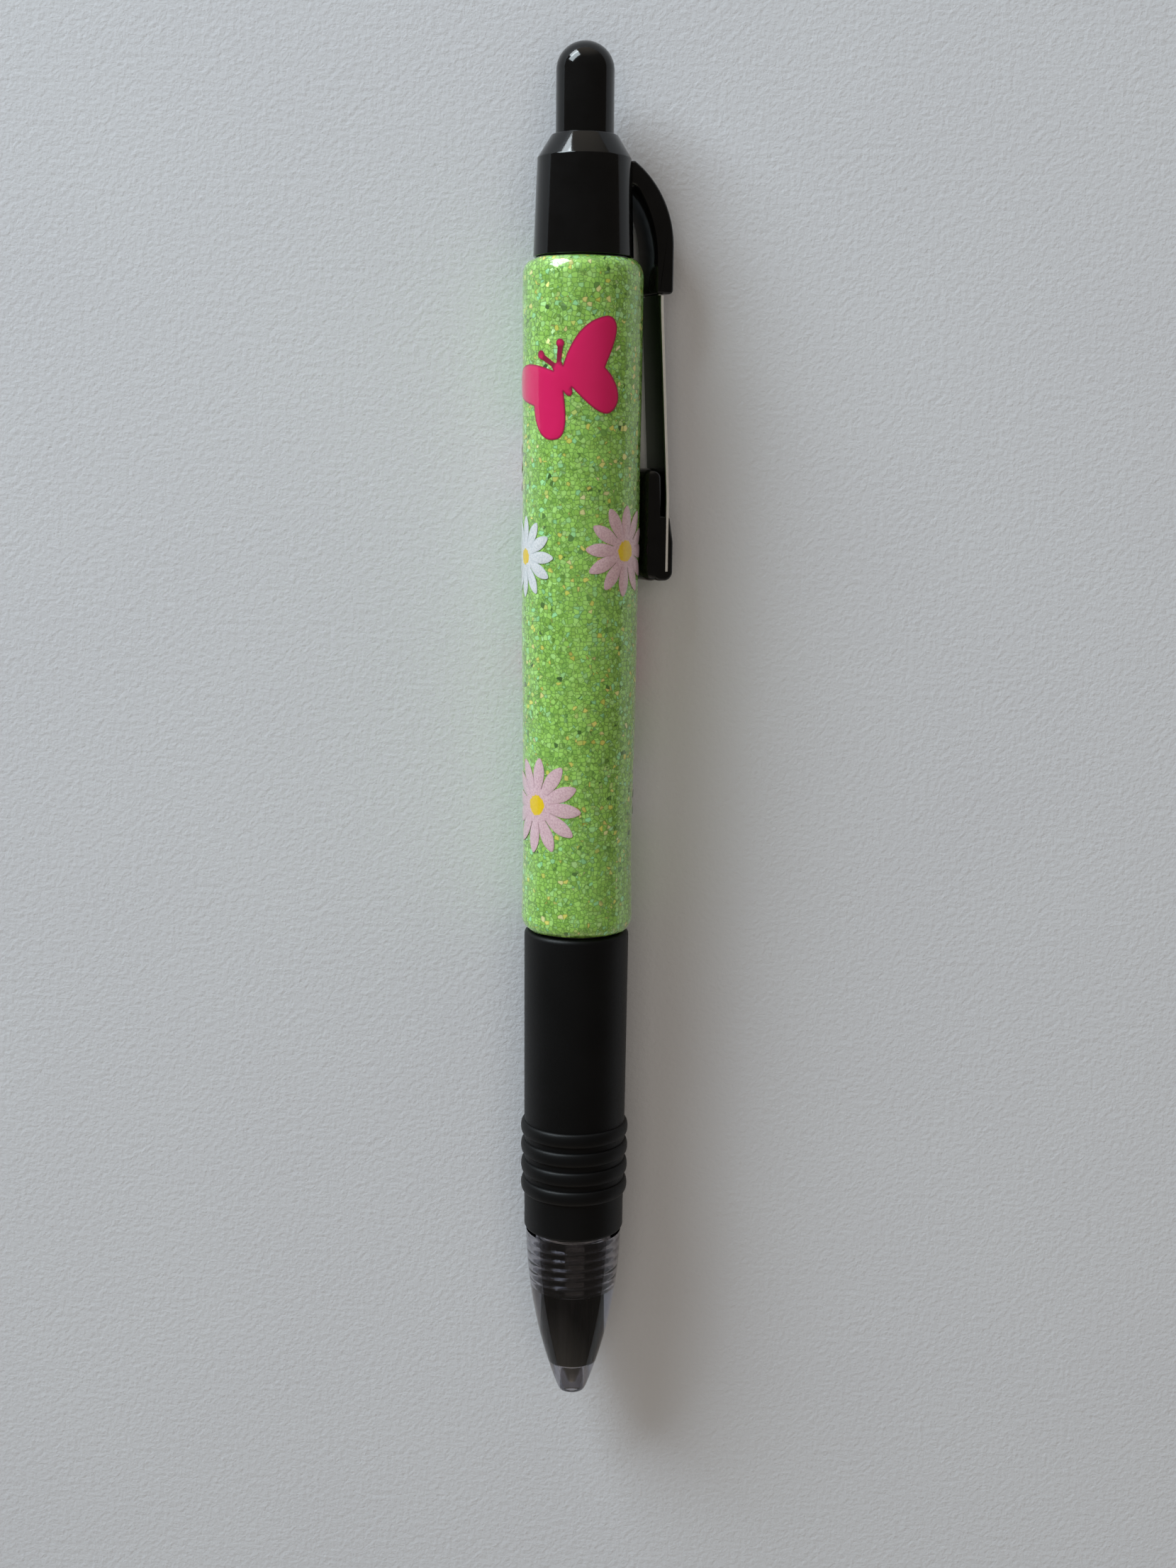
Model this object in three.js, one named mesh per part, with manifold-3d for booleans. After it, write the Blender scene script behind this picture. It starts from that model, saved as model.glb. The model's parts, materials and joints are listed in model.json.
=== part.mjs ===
// A retractable gel pen lying on its side, as an assembly of separate solids.
//
// Units are millimetres and +Z is up. The pen's axis runs along +Y, from the nose at -Y to the
// push button at +Y. The clip side is +X, rolled down until the clip's lower corner rests on the
// same plane as the sleeve. Inside the pen group, a y value is the distance from the nose's end
// face, so every lathe profile is a list of [radius, distance] pairs.

import * as THREE from 'three';
import { mergeVertices } from 'three/addons/utils/BufferGeometryUtils.js';
import Module from 'manifold-3d';

const wasm = await Module();
wasm.setup();

// ---------------------------------------------------------------- driving dimensions

// Overall. The refill's radius sets the girth of the whole pen, which is built up around it.
const OVERALL_LENGTH = 145;
const REFILL_RADIUS = 3;

// Fits between pieces
const FIT = 0.05; // radial gap of pieces pressed or glued together
const SLIDE = 0.1; // radial gap of pieces that slide or turn
const END_GAP = 0.15; // gap between end faces that meet
const SPRING_GAP = 0.2; // gap at each end of the spring

const CUT_OVER = 0.5; // how far a cutting tool reaches past the faces that it cuts through

// Roundness of the solids
const SHELL_SIDES = 32;
const CORE_SIDES = 24;
const SMALL_SIDES = 16;

// Nose cone
const NOSE_LENGTH = 19.15;
const NOSE_OVER_BARREL = 0.37; // how far the cone's widest ring stands outside the barrel
const NOSE_RIM = 0.28; // flat ring around the hole
const NOSE_TANGENT_BEYOND = 0.85; // the ogive would run parallel to the axis this far behind the cone
const NOSE_SHOULDER = 3.4; // where the front hole opens into the bore, and the spring seats

// Barrel
const THREAD_LENGTH = 6.55; // length of the front spigot inside the nose cone
const SPIGOT_WALL = 0.8;
const GUIDE_LENGTH = 13.4; // narrow front bore that steadies the refill
const GRIP_SEAT_WALL = 0.7; // wall left under the grip
const BARREL_WALL = 1.1; // wall under the sleeve
const STUB_WALL = 0.3; // wall of the rear stub that the housing is pressed on

// Rubber grip
const GRIP_LENGTH = 33.9;
const GRIP_FRONT_OVER = 0.59; // grip radius outside the barrel radius, at its front
const GRIP_REAR_OVER = 0.77;
const GRIP_EDGE = 0.8; // edge rounding
const RING_COUNT = 4;
const RING_PITCH = 2.19;
const RING_FIRST = 5.05; // first ring behind the grip's front end
const RING_HALF_WIDTH = 0.8;
const RING_HEIGHT = 0.37;

// Glitter sleeve
const SLEEVE_FRONT_OVER = 1.09; // sleeve radius outside the barrel radius
const SLEEVE_WAIST_OVER = 0.94;
const SLEEVE_MIDDLE_OVER = 1.12;
const SLEEVE_REAR_OVER = 1.36;
const SLEEVE_WAIST_AT = 9.9; // behind the sleeve's front end
const SLEEVE_MIDDLE_BEFORE = 34.8; // in front of the sleeve's rear end
const SLEEVE_CROWN_BEFORE = 3.1;
const SLEEVE_FRONT_EDGE = 0.85; // radial depth of the rounding at each end, and its length
const SLEEVE_FRONT_EDGE_LENGTH = 1.5;
const SLEEVE_REAR_EDGE = 1.05;
const SLEEVE_REAR_EDGE_LENGTH = 1.8;

// Sequins cast into the sleeve
const SEQUIN_GAP = 0.12;
const SEQUIN_THICKNESS = 0.1;
const PETALS = 12;

// Rear housing
const HOUSING_LENGTH = 12;
const HOUSING_BASE_OVER = 0.26; // housing radius outside the barrel radius, next to the sleeve
const HOUSING_TAPER = 0.34; // radius lost between the base and the shoulder
const SHOULDER_HEIGHT = 2.28; // length of the conical shoulder
const COLLAR_WALL = 0.33;
const ROOF = 1.25; // wall that holds the button in

// Clip
const ARM_WIDTH = 4.7;
const ARM_REACH = 3.35; // how far the arm's end lies in front of the housing's base
const ARM_INNER_OVER = 2.15; // arm's inner face outside the housing's base radius
const ARM_THICKNESS = 2;
const ARM_ROOT_LENGTH = 2.4; // how far the arm is joined to the housing
const ARM_ROOT_BELOW_SHOULDER = 0.07;
const ARM_ROOT_SUNK = 0.1; // outer face's end inside the shell's surface
const ARM_OUTER_BEND = 1.35; // where the outer face starts to curve in, behind the housing's base
const ARM_INNER_BEND = 0.15;
const LEAF_WIDTH = 4.4;
const TANG_WIDTH = 3.2;
const TANG_LENGTH = 3;
const TANG_LAP = 1; // straight length of blade that the tang is joined to
const LEAF_THICKNESS = 0.4;
const LEAF_INSET = 0.5; // leaf's inner face outside the arm's inner face
const LEAF_RISE = 1.05; // how far the leaf splays outward
const LEAF_SPLAY_LENGTH = 20.75;
const LEAF_STRAIGHT_LENGTH = 7.85;
const SLOT_GAP = 0.3; // room for the leaf to flex in its slot
const TIP_WIDTH = 4.6;
const TIP_OVER_SLEEVE = 0.3; // pad's clearance to the sleeve
const TIP_BEYOND_LEAF = 1;
const PAD_LENGTH = 11.8;
const PAD_ROUND = 1.15;
const LOBE_LENGTH = 6.9;
const LOBE_TAPER = 2.8;
const LOBE_THICKNESS = 0.58;
const LOBE_EDGE = 0.08; // thickness left where the lobe's taper ends

// Push button and cams
const BUTTON_RADIUS = 2.97;
const BUTTON_PROUD = 9.15; // above the housing's collar
const DOME_HEIGHT = 2.85;
const BUTTON_TRAVEL = 5.5;
const FLANGE_OVER = 0.43; // flange radius outside the button radius
const FLANGE_HEIGHT = 1.4;
const SKIRT_LENGTH = 12.2;
const CORE_BORE_RADIUS = 1.5;
const CORE_BORE_ABOVE_FLANGE = 5;
const BORE_CONE_HEIGHT = 1;
const TEETH = 8;
const TOOTH_DEPTH = 0.8;
const LUG_COUNT = 4;
const ROOT_DEPTH = 0.5; // how deep lugs and fins are sunk into the body they stand on
const LUG_WIDTH = 1;
const LUG_LENGTH = 3.6;
const LUG_ABOVE_TEETH = 1.8;
const CAM_GAP = 0.3; // axial gap between the button's teeth and the rotor's
const ROTOR_FIN_LENGTH = 3.7;
const ROTOR_FIN_WIDTH = 1.2;
const ROTOR_FIN_BELOW_TEETH = 1.15;
const ROTOR_STEM_LENGTH = 5.8;
const ROTOR_FOOT_RADIUS = 2.2;
const ROTOR_FOOT_LENGTH = 2.9;
const CAM_PLAY = 0.3; // bore of the cam sleeve outside the refill
const CAM_WALL = 0.45;
const CAM_RIB_HEIGHT = 0.55;
const CAM_RIB_WIDTH = 2.2;
const CAM_RIB_SLOPE = 0.9;
const CAM_RIB_ABOVE_FINS = 0.4;
const CAM_OVERRUN = 1.6; // cam sleeve in front of the rotor's lowest place

// Refill
const REFILL_WALL = 0.4;
const POINT_RADIUS = 1.15;
const POINT_PLAY = 0.07; // radial gap in the nose hole
const POINT_SETBACK = 1; // tip behind the nose's end face when retracted
const POINT_CONE_LENGTH = 2.2;
const POINT_LENGTH = 11.4;
const POINT_TAIL_RADIUS = 0.85;
const POINT_TAIL_LENGTH = 3.6;
const INK_CHANNEL_RADIUS = 0.35;
const BALL_RADIUS = 0.25;
const BALL_CLEARANCE = 0.03;
const BALL_SHOWING = 0.8; // how far the ball stands out of its socket, in ball radii
const SOCKET_LIP = 0.05;
const FEED_TAPER = 0.5; // length over which the ink channel narrows towards the ball
const NECK_LENGTH = 10;
const COLLAR_LENGTH = 1.8;
const PLUG_LENGTH = 4.7; // adapter's plug inside the refill tube
const FOLLOWER_LENGTH = 6;
const EMPTY_LENGTH = 19; // air between the follower and the tail plug
const TAIL_PLUG_LENGTH = 2.5;
const TAIL_CAP_LENGTH = 0.9;
const TAIL_VENT_RADIUS = 0.4;

// Return spring
const SPRING_MEAN_RADIUS = 1.85;
const SPRING_WIRE_RADIUS = 0.17;
const SPRING_PLAY = 0.18; // radial gap to the bore around it and to the neck inside it
const SPRING_TURNS = 11;
const SPRING_STEPS_PER_TURN = 12;

// ---------------------------------------------------------------- places worked out from them

const camBoreRadius = REFILL_RADIUS + CAM_PLAY;
const camRadius = camBoreRadius + CAM_WALL;
const camRibInner = camBoreRadius - CAM_RIB_HEIGHT;
const skirtRadius = camRibInner - SLIDE;
const finRadius = camBoreRadius - SLIDE;

const barrelBoreRadius = camRadius + FIT;
const barrelRadius = barrelBoreRadius + BARREL_WALL;
const gripSeatRadius = barrelBoreRadius + GRIP_SEAT_WALL;
const gripBoreRadius = gripSeatRadius + FIT;
const stubRadius = barrelBoreRadius + STUB_WALL;
const guideRadius = REFILL_RADIUS + 2 * SLIDE;
const spigotRadius = guideRadius + SPIGOT_WALL;
const sleeveBoreRadius = barrelRadius + FIT;
const sleeveCrownRadius = barrelRadius + SLEEVE_REAR_OVER;

const noseHoleRadius = POINT_RADIUS + POINT_PLAY;
const noseFaceRadius = noseHoleRadius + NOSE_RIM;
const noseCrownRadius = barrelRadius + NOSE_OVER_BARREL;
const noseBoreRadius = SPRING_MEAN_RADIUS + SPRING_WIRE_RADIUS + SPRING_PLAY;
const spigotFront = NOSE_LENGTH - THREAD_LENGTH;
const guideRear = spigotFront + GUIDE_LENGTH;
const barrelShoulder = NOSE_LENGTH + END_GAP;

const gripFront = barrelShoulder + END_GAP;
const gripRear = gripFront + GRIP_LENGTH;

const housingTop = OVERALL_LENGTH - BUTTON_PROUD;
const housingBase = housingTop - HOUSING_LENGTH;
const housingRoof = housingTop - ROOF;
const shoulderStart = housingTop - SHOULDER_HEIGHT;
const housingBaseRadius = barrelRadius + HOUSING_BASE_OVER;
const sleeveFront = gripRear + END_GAP;
const sleeveRear = housingBase - END_GAP;

const collarHoleRadius = BUTTON_RADIUS + SLIDE;
const flangeRadius = BUTTON_RADIUS + FLANGE_OVER;
const housingCavityRadius = flangeRadius + 2 * SLIDE;
const flangeTop = housingRoof - SPRING_GAP;
const flangeBottom = flangeTop - FLANGE_HEIGHT;
const barrelRear = flangeBottom - BUTTON_TRAVEL - 2 * END_GAP; // clear of the pressed button

const toothTips = flangeBottom - SKIRT_LENGTH; // lowest points of the button's teeth
const rotorTeeth = toothTips - CAM_GAP; // highest points of the rotor's teeth
const rotorFinTop = rotorTeeth - ROTOR_FIN_BELOW_TEETH;
const rotorFinBottom = rotorFinTop - ROTOR_FIN_LENGTH;
const rotorFoot = rotorFinBottom - ROTOR_FOOT_LENGTH;
const camTop = barrelRear - END_GAP;
const camBottom = rotorFinBottom - BUTTON_TRAVEL - CAM_OVERRUN;
const camRibBottom = rotorFinTop + CAM_RIB_ABOVE_FINS;

const refillRear = rotorFoot - END_GAP;
const tubeRear = refillRear - TAIL_CAP_LENGTH - END_GAP;
const pointTip = POINT_SETBACK;
const pointRear = pointTip + POINT_LENGTH;
const neckFront = pointRear + END_GAP;
const neckRadius = SPRING_MEAN_RADIUS - SPRING_WIRE_RADIUS - SPRING_PLAY;
const collarFront = neckFront + NECK_LENGTH;
const collarRear = collarFront + COLLAR_LENGTH;
const tubeFront = collarRear + END_GAP;
const tubeBoreRadius = REFILL_RADIUS - REFILL_WALL;
const fillRadius = tubeBoreRadius - FIT;
const plugRear = collarRear + PLUG_LENGTH;
const followerRear = tubeRear - TAIL_PLUG_LENGTH - EMPTY_LENGTH;
const followerFront = followerRear - FOLLOWER_LENGTH;
const inkFront = plugRear + END_GAP;
const inkRear = followerFront - END_GAP;

const armInner = housingBaseRadius + ARM_INNER_OVER;
const armOuter = armInner + ARM_THICKNESS;
const armEnd = housingBase - ARM_REACH;
const leafInner = armInner + LEAF_INSET;
const leafTipInner = leafInner + LEAF_RISE;
const leafBend = armEnd - LEAF_SPLAY_LENGTH;
const leafEnd = leafBend - LEAF_STRAIGHT_LENGTH;
const tipFront = leafEnd - TIP_BEYOND_LEAF;
const padRear = tipFront + PAD_LENGTH;
const lobeOuter = leafTipInner + LEAF_THICKNESS + FIT + LOBE_THICKNESS;

// The sleeve rests on one of its flats, so its lowest line is a little inside its radius.
const restHeight = sleeveCrownRadius * Math.cos(Math.PI / SHELL_SIDES);
const clipCornerRadius = Math.hypot(lobeOuter, TIP_WIDTH / 2);
const clipRoll = Math.asin(restHeight / clipCornerRadius) - Math.atan2(TIP_WIDTH / 2, lobeOuter);

// ---------------------------------------------------------------- materials

const FINISH = {
  sleeve: { color: 0x86dc5f, roughness: 0.2, metalness: 0.1 },
  blackGloss: { color: 0x0c0c0e, roughness: 0.18, metalness: 0 },
  rubber: { color: 0x1a1a1c, roughness: 0.75, metalness: 0 },
  smokeClear: { color: 0xb9bac4, roughness: 0.08, metalness: 0, transparent: true, opacity: 0.35 },
  clear: { color: 0xe8edf0, roughness: 0.1, metalness: 0, transparent: true, opacity: 0.4 },
  steel: { color: 0xc9ccd0, roughness: 0.22, metalness: 1 },
  carbide: { color: 0x8c8f94, roughness: 0.15, metalness: 1 },
  whitePlastic: { color: 0xe6e6e2, roughness: 0.4, metalness: 0 },
  greyPlastic: { color: 0x55585c, roughness: 0.45, metalness: 0 },
  ink: { color: 0x0a0a12, roughness: 0.2, metalness: 0 },
  grease: { color: 0xd9cf9a, roughness: 0.3, metalness: 0 },
  pink: { color: 0xcd1964, roughness: 0.25, metalness: 0 },
  whiteSequin: { color: 0xf0f1f4, roughness: 0.35, metalness: 0 },
  pinkSequin: { color: 0xd9b0bf, roughness: 0.35, metalness: 0 },
};

// ---------------------------------------------------------------- helpers

function addPart(parent, name, geometry, finish) {
  const mesh = new THREE.Mesh(geometry, new THREE.MeshStandardMaterial(finish));
  mesh.name = name;
  parent.add(mesh);
  return mesh;
}

// Turns a [radius, distance] outline, listed up the outside and down the inside, into a ring.
function turned(outline, sides) {
  const points = outline.map(([radius, along]) => new THREE.Vector2(radius, along));
  if (outline[0][0] > 0) {
    points.push(points[0].clone());
  }
  return new THREE.LatheGeometry(points, sides, Math.PI / sides);
}

// Points of an arc in a [radius, distance] outline.
function arc(radius, along, rx, ry, from, to, steps) {
  const points = [];
  for (let i = 0; i <= steps; i += 1) {
    const angle = THREE.MathUtils.degToRad(from + ((to - from) * i) / steps);
    points.push([radius + rx * Math.cos(angle), along + ry * Math.sin(angle)]);
  }
  return points;
}

// A flat outline of [x, y] points pushed through along z, between two z values.
function pushed(outline, z0, z1) {
  const shape = new THREE.Shape(outline.map(([x, y]) => new THREE.Vector2(x, y)));
  const geometry = new THREE.ExtrudeGeometry(shape, { depth: z1 - z0, bevelEnabled: false });
  geometry.translate(0, 0, z0);
  return geometry;
}

// A prism that stands out from the axis: its outline is [sideways, along], its depth is radial.
function radial(outline, inner, outer, turn) {
  return pushed(outline, inner, outer).rotateY(turn);
}

function solid(geometry) {
  const bare = geometry.clone();
  bare.deleteAttribute('normal');
  bare.deleteAttribute('uv');
  const merged = mergeVertices(bare, 1e-4);
  const index = merged.index.array;
  const corners = [];
  for (let i = 0; i < index.length; i += 3) {
    const [a, b, c] = [index[i], index[i + 1], index[i + 2]];
    if (a !== b && b !== c && c !== a) {
      corners.push(a, b, c);
    }
  }
  return new wasm.Manifold(
    new wasm.Mesh({
      numProp: 3,
      vertProperties: new Float32Array(merged.attributes.position.array),
      triVerts: new Uint32Array(corners),
    }),
  );
}

function geometryOf(body) {
  const mesh = body.getMesh();
  const geometry = new THREE.BufferGeometry();
  geometry.setAttribute('position', new THREE.BufferAttribute(mesh.vertProperties, 3));
  geometry.setIndex(new THREE.BufferAttribute(mesh.triVerts, 1));
  geometry.computeVertexNormals();
  return geometry;
}

function joined(base, additions, cuts = []) {
  let body = solid(base);
  for (const addition of additions) {
    body = body.add(solid(addition));
  }
  for (const cut of cuts) {
    body = body.subtract(solid(cut));
  }
  return geometryOf(body);
}

// ---------------------------------------------------------------- nose, barrel, grip, sleeve

function noseCone() {
  const tangentAt = NOSE_LENGTH + NOSE_TANGENT_BEYOND;
  const drop = noseCrownRadius - noseFaceRadius;
  const ogiveRadius = (tangentAt ** 2 + drop ** 2) / (2 * drop);
  const steps = 10;
  const outline = [];
  for (let i = 0; i <= steps; i += 1) {
    const along = (NOSE_LENGTH * i) / steps;
    const below = ogiveRadius - Math.sqrt(ogiveRadius ** 2 - (tangentAt - along) ** 2);
    outline.push([noseCrownRadius - below, along]);
  }
  const threadBore = spigotRadius + SLIDE;
  outline.push([threadBore, NOSE_LENGTH]);
  outline.push([threadBore, spigotFront - END_GAP]);
  outline.push([noseBoreRadius, spigotFront - END_GAP]);
  outline.push([noseBoreRadius, NOSE_SHOULDER]);
  outline.push([noseHoleRadius, NOSE_SHOULDER]);
  outline.push([noseHoleRadius, 0]);
  return turned(outline, SHELL_SIDES);
}

function barrel() {
  return turned(
    [
      [guideRadius, spigotFront],
      [spigotRadius, spigotFront],
      [spigotRadius, barrelShoulder],
      [gripSeatRadius, barrelShoulder],
      [gripSeatRadius, gripRear + END_GAP / 2],
      [barrelRadius, gripRear + END_GAP / 2],
      [barrelRadius, housingBase - END_GAP / 2],
      [stubRadius, housingBase - END_GAP / 2],
      [stubRadius, barrelRear],
      [barrelBoreRadius, barrelRear],
      [barrelBoreRadius, guideRear + barrelBoreRadius - guideRadius],
      [guideRadius, guideRear],
    ],
    SHELL_SIDES,
  );
}

function rubberGrip() {
  const frontRadius = barrelRadius + GRIP_FRONT_OVER;
  const rearRadius = barrelRadius + GRIP_REAR_OVER;
  const radiusAt = (along) =>
    THREE.MathUtils.mapLinear(along, gripFront, gripRear, frontRadius, rearRadius);
  const edge = Math.min(GRIP_EDGE, frontRadius - gripBoreRadius - FIT);
  const outline = [[gripBoreRadius, gripFront]];
  outline.push(...arc(frontRadius - edge, gripFront + edge, edge, edge, -90, 0, 3));
  for (let i = 0; i < RING_COUNT; i += 1) {
    const middle = gripFront + RING_FIRST + i * RING_PITCH;
    outline.push(...arc(radiusAt(middle), middle, RING_HEIGHT, RING_HALF_WIDTH, -90, 90, 4));
  }
  outline.push(...arc(rearRadius - edge, gripRear - edge, edge, edge, 0, 90, 3));
  outline.push([gripBoreRadius, gripRear]);
  return turned(outline, SHELL_SIDES);
}

// Outside radius of the glitter sleeve, between its rounded ends.
function sleeveRadius(along) {
  const stations = [
    [sleeveFront + SLEEVE_FRONT_EDGE_LENGTH, SLEEVE_FRONT_OVER],
    [sleeveFront + SLEEVE_WAIST_AT, SLEEVE_WAIST_OVER],
    [sleeveRear - SLEEVE_MIDDLE_BEFORE, SLEEVE_MIDDLE_OVER],
    [sleeveRear - SLEEVE_CROWN_BEFORE, SLEEVE_REAR_OVER],
    [sleeveRear, SLEEVE_REAR_OVER],
  ];
  let over = stations[0][1];
  for (let i = 1; i < stations.length; i += 1) {
    const [near, nearOver] = stations[i - 1];
    const [far, farOver] = stations[i];
    if (along >= near) {
      const share = Math.min((along - near) / (far - near), 1);
      over = THREE.MathUtils.lerp(nearOver, farOver, share);
    }
  }
  return barrelRadius + over;
}

function glitterSleeve() {
  const frontEdge = SLEEVE_FRONT_EDGE;
  const rearEdge = SLEEVE_REAR_EDGE;
  const frontLength = SLEEVE_FRONT_EDGE_LENGTH;
  const rearLength = SLEEVE_REAR_EDGE_LENGTH;
  const frontRadius = barrelRadius + SLEEVE_FRONT_OVER - frontEdge;
  const rearRadius = sleeveCrownRadius - rearEdge;
  const middles = [SLEEVE_WAIST_AT, sleeveRear - SLEEVE_MIDDLE_BEFORE - sleeveFront];
  const outline = [[sleeveBoreRadius, sleeveFront]];
  outline.push(...arc(frontRadius, sleeveFront + frontLength, frontEdge, frontLength, -90, 0, 3));
  for (const middle of middles) {
    outline.push([sleeveRadius(sleeveFront + middle), sleeveFront + middle]);
  }
  outline.push([sleeveCrownRadius, sleeveRear - SLEEVE_CROWN_BEFORE]);
  outline.push(...arc(rearRadius, sleeveRear - rearLength, rearEdge, rearLength, 0, 90, 4));
  outline.push([sleeveBoreRadius, sleeveRear]);
  return turned(outline, SHELL_SIDES);
}

// ---------------------------------------------------------------- sequins

// A thin plate wrapped round the sleeve. rimAt gives the flat outline's reach from its centre in
// each direction; the plate is a polar grid of rings, so that it bends with the sleeve.
function sequin({ around, along, lean, rimAt, spokes, rings }) {
  const positions = [];
  const triangles = [];
  const point = (sideways, forward, lift) => {
    const x = sideways * Math.cos(lean) - forward * Math.sin(lean);
    const y = along + sideways * Math.sin(lean) + forward * Math.cos(lean);
    const radius = sleeveRadius(y) + SEQUIN_GAP + lift;
    const angle = around + x / sleeveRadius(along);
    positions.push(radius * Math.sin(angle), y, radius * Math.cos(angle));
  };
  const layer = 1 + rings * spokes;
  for (const lift of [0, SEQUIN_THICKNESS]) {
    point(0, 0, lift);
    for (let ring = 1; ring <= rings; ring += 1) {
      for (let spoke = 0; spoke < spokes; spoke += 1) {
        const direction = (2 * Math.PI * spoke) / spokes;
        const reach = (rimAt(direction, spoke) * ring) / rings;
        point(reach * Math.sin(direction), reach * Math.cos(direction), lift);
      }
    }
  }
  const at = (ring, spoke) => 1 + (ring - 1) * spokes + (spoke % spokes);
  const face = (a, b, c) => {
    triangles.push(a, b, c);
    triangles.push(layer + a, layer + c, layer + b);
  };
  for (let spoke = 0; spoke < spokes; spoke += 1) {
    face(0, at(1, spoke), at(1, spoke + 1));
    for (let ring = 1; ring < rings; ring += 1) {
      face(at(ring, spoke), at(ring + 1, spoke), at(ring + 1, spoke + 1));
      face(at(ring, spoke), at(ring + 1, spoke + 1), at(ring, spoke + 1));
    }
    const near = at(rings, spoke);
    const far = at(rings, spoke + 1);
    triangles.push(near, layer + near, layer + far);
    triangles.push(near, layer + far, far);
  }
  const geometry = new THREE.BufferGeometry();
  geometry.setAttribute('position', new THREE.Float32BufferAttribute(positions, 3));
  geometry.setIndex(triangles);
  geometry.computeVertexNormals();
  return geometry;
}

const DAISY_VALLEY = 0.62; // depth of the gaps between petals, as a share of the reach
const DAISY_SHOULDER = 0.97; // reach of each petal's two corners

function daisy(around, along, reach) {
  const rim = [DAISY_VALLEY, DAISY_SHOULDER, DAISY_SHOULDER];
  return sequin({
    around,
    along,
    lean: 0,
    spokes: PETALS * rim.length,
    rings: 4,
    rimAt: (direction, spoke) => reach * rim[spoke % rim.length],
  });
}

// Half of a butterfly's outline as [degrees from the head, reach]: body, upper wing, notch, lower
// wing and tail.
const BUTTERFLY_RIM = [
  [0, 1.9],
  [20, 1.75],
  [38, 3.2],
  [50, 5.2],
  [58, 6.8],
  [66, 7.75],
  [75, 7.55],
  [86, 6.4],
  [95, 5.15],
  [102, 4.5],
  [113, 5],
  [127, 6.1],
  [139, 6.25],
  [150, 6.1],
  [158, 5.2],
  [166, 3.4],
  [180, 2],
];
const BUTTERFLY_SPOKES = 36;

function butterfly(around, along, lean) {
  return sequin({
    around,
    along,
    lean,
    spokes: BUTTERFLY_SPOKES,
    rings: 7,
    rimAt: (direction) => {
      const turn = THREE.MathUtils.radToDeg(direction);
      const fromHead = turn > 180 ? 360 - turn : turn;
      const far = Math.max(BUTTERFLY_RIM.findIndex(([angle]) => angle >= fromHead - 1e-9), 1);
      const [nearAngle, nearReach] = BUTTERFLY_RIM[far - 1];
      const [farAngle, farReach] = BUTTERFLY_RIM[far];
      return THREE.MathUtils.mapLinear(fromHead, nearAngle, farAngle, nearReach, farReach);
    },
  });
}

// ---------------------------------------------------------------- rear housing and clip

// One face of the clip's arm, as points from where it leaves its straight end to its root. The arc
// starts parallel to the axis.
function armFace(straightRadius, bendAt, rootRadius, rootAt, steps) {
  const rise = straightRadius - rootRadius;
  const length = rootAt - bendAt;
  const bendRadius = (rise ** 2 + length ** 2) / (2 * rise);
  const sweep = THREE.MathUtils.radToDeg(Math.asin(length / bendRadius));
  return arc(straightRadius - bendRadius, bendAt, bendRadius, bendRadius, 0, sweep, steps);
}

function rearHousing() {
  const shoulderRadius = housingBaseRadius - HOUSING_TAPER;
  const shell = turned(
    [
      [0, housingBase],
      [housingBaseRadius, housingBase],
      [shoulderRadius, shoulderStart],
      [collarHoleRadius + COLLAR_WALL, housingTop],
      [0, housingTop],
    ],
    SHELL_SIDES,
  );
  const rootRear = shoulderStart - ARM_ROOT_BELOW_SHOULDER;
  const rootFront = rootRear - ARM_ROOT_LENGTH;
  const embedded = stubRadius - FIT; // inside the shell's wall
  const outerRoot = shoulderRadius - ARM_ROOT_SUNK;
  const outerFace = armFace(armOuter, housingBase + ARM_OUTER_BEND, outerRoot, rootRear, 7);
  const innerFace = armFace(armInner, housingBase + ARM_INNER_BEND, shoulderRadius, rootFront, 6);
  const arm = pushed(
    [
      [embedded, rootFront],
      ...innerFace.reverse(),
      [armInner, armEnd],
      [armOuter, armEnd],
      ...outerFace,
      [embedded, rootRear],
    ],
    -ARM_WIDTH / 2,
    ARM_WIDTH / 2,
  );
  const bore = turned(
    [
      [0, housingBase - CUT_OVER],
      [stubRadius + FIT, housingBase - CUT_OVER],
      [stubRadius + FIT, barrelRear + END_GAP],
      [housingCavityRadius, barrelRear + END_GAP],
      [housingCavityRadius, housingRoof],
      [collarHoleRadius, housingRoof],
      [collarHoleRadius, housingTop + CUT_OVER],
      [0, housingTop + CUT_OVER],
    ],
    SHELL_SIDES,
  );
  const slot = pushed(
    [
      [leafInner - SLOT_GAP, armEnd - CUT_OVER],
      [leafInner + LEAF_THICKNESS + SLOT_GAP, armEnd - CUT_OVER],
      [leafInner + LEAF_THICKNESS + SLOT_GAP, armEnd + TANG_LENGTH + SLOT_GAP],
      [leafInner - SLOT_GAP, armEnd + TANG_LENGTH + SLOT_GAP],
    ],
    -TANG_WIDTH / 2 - SLOT_GAP,
    TANG_WIDTH / 2 + SLOT_GAP,
  );
  return joined(shell, [arm], [bore, slot]);
}

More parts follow.
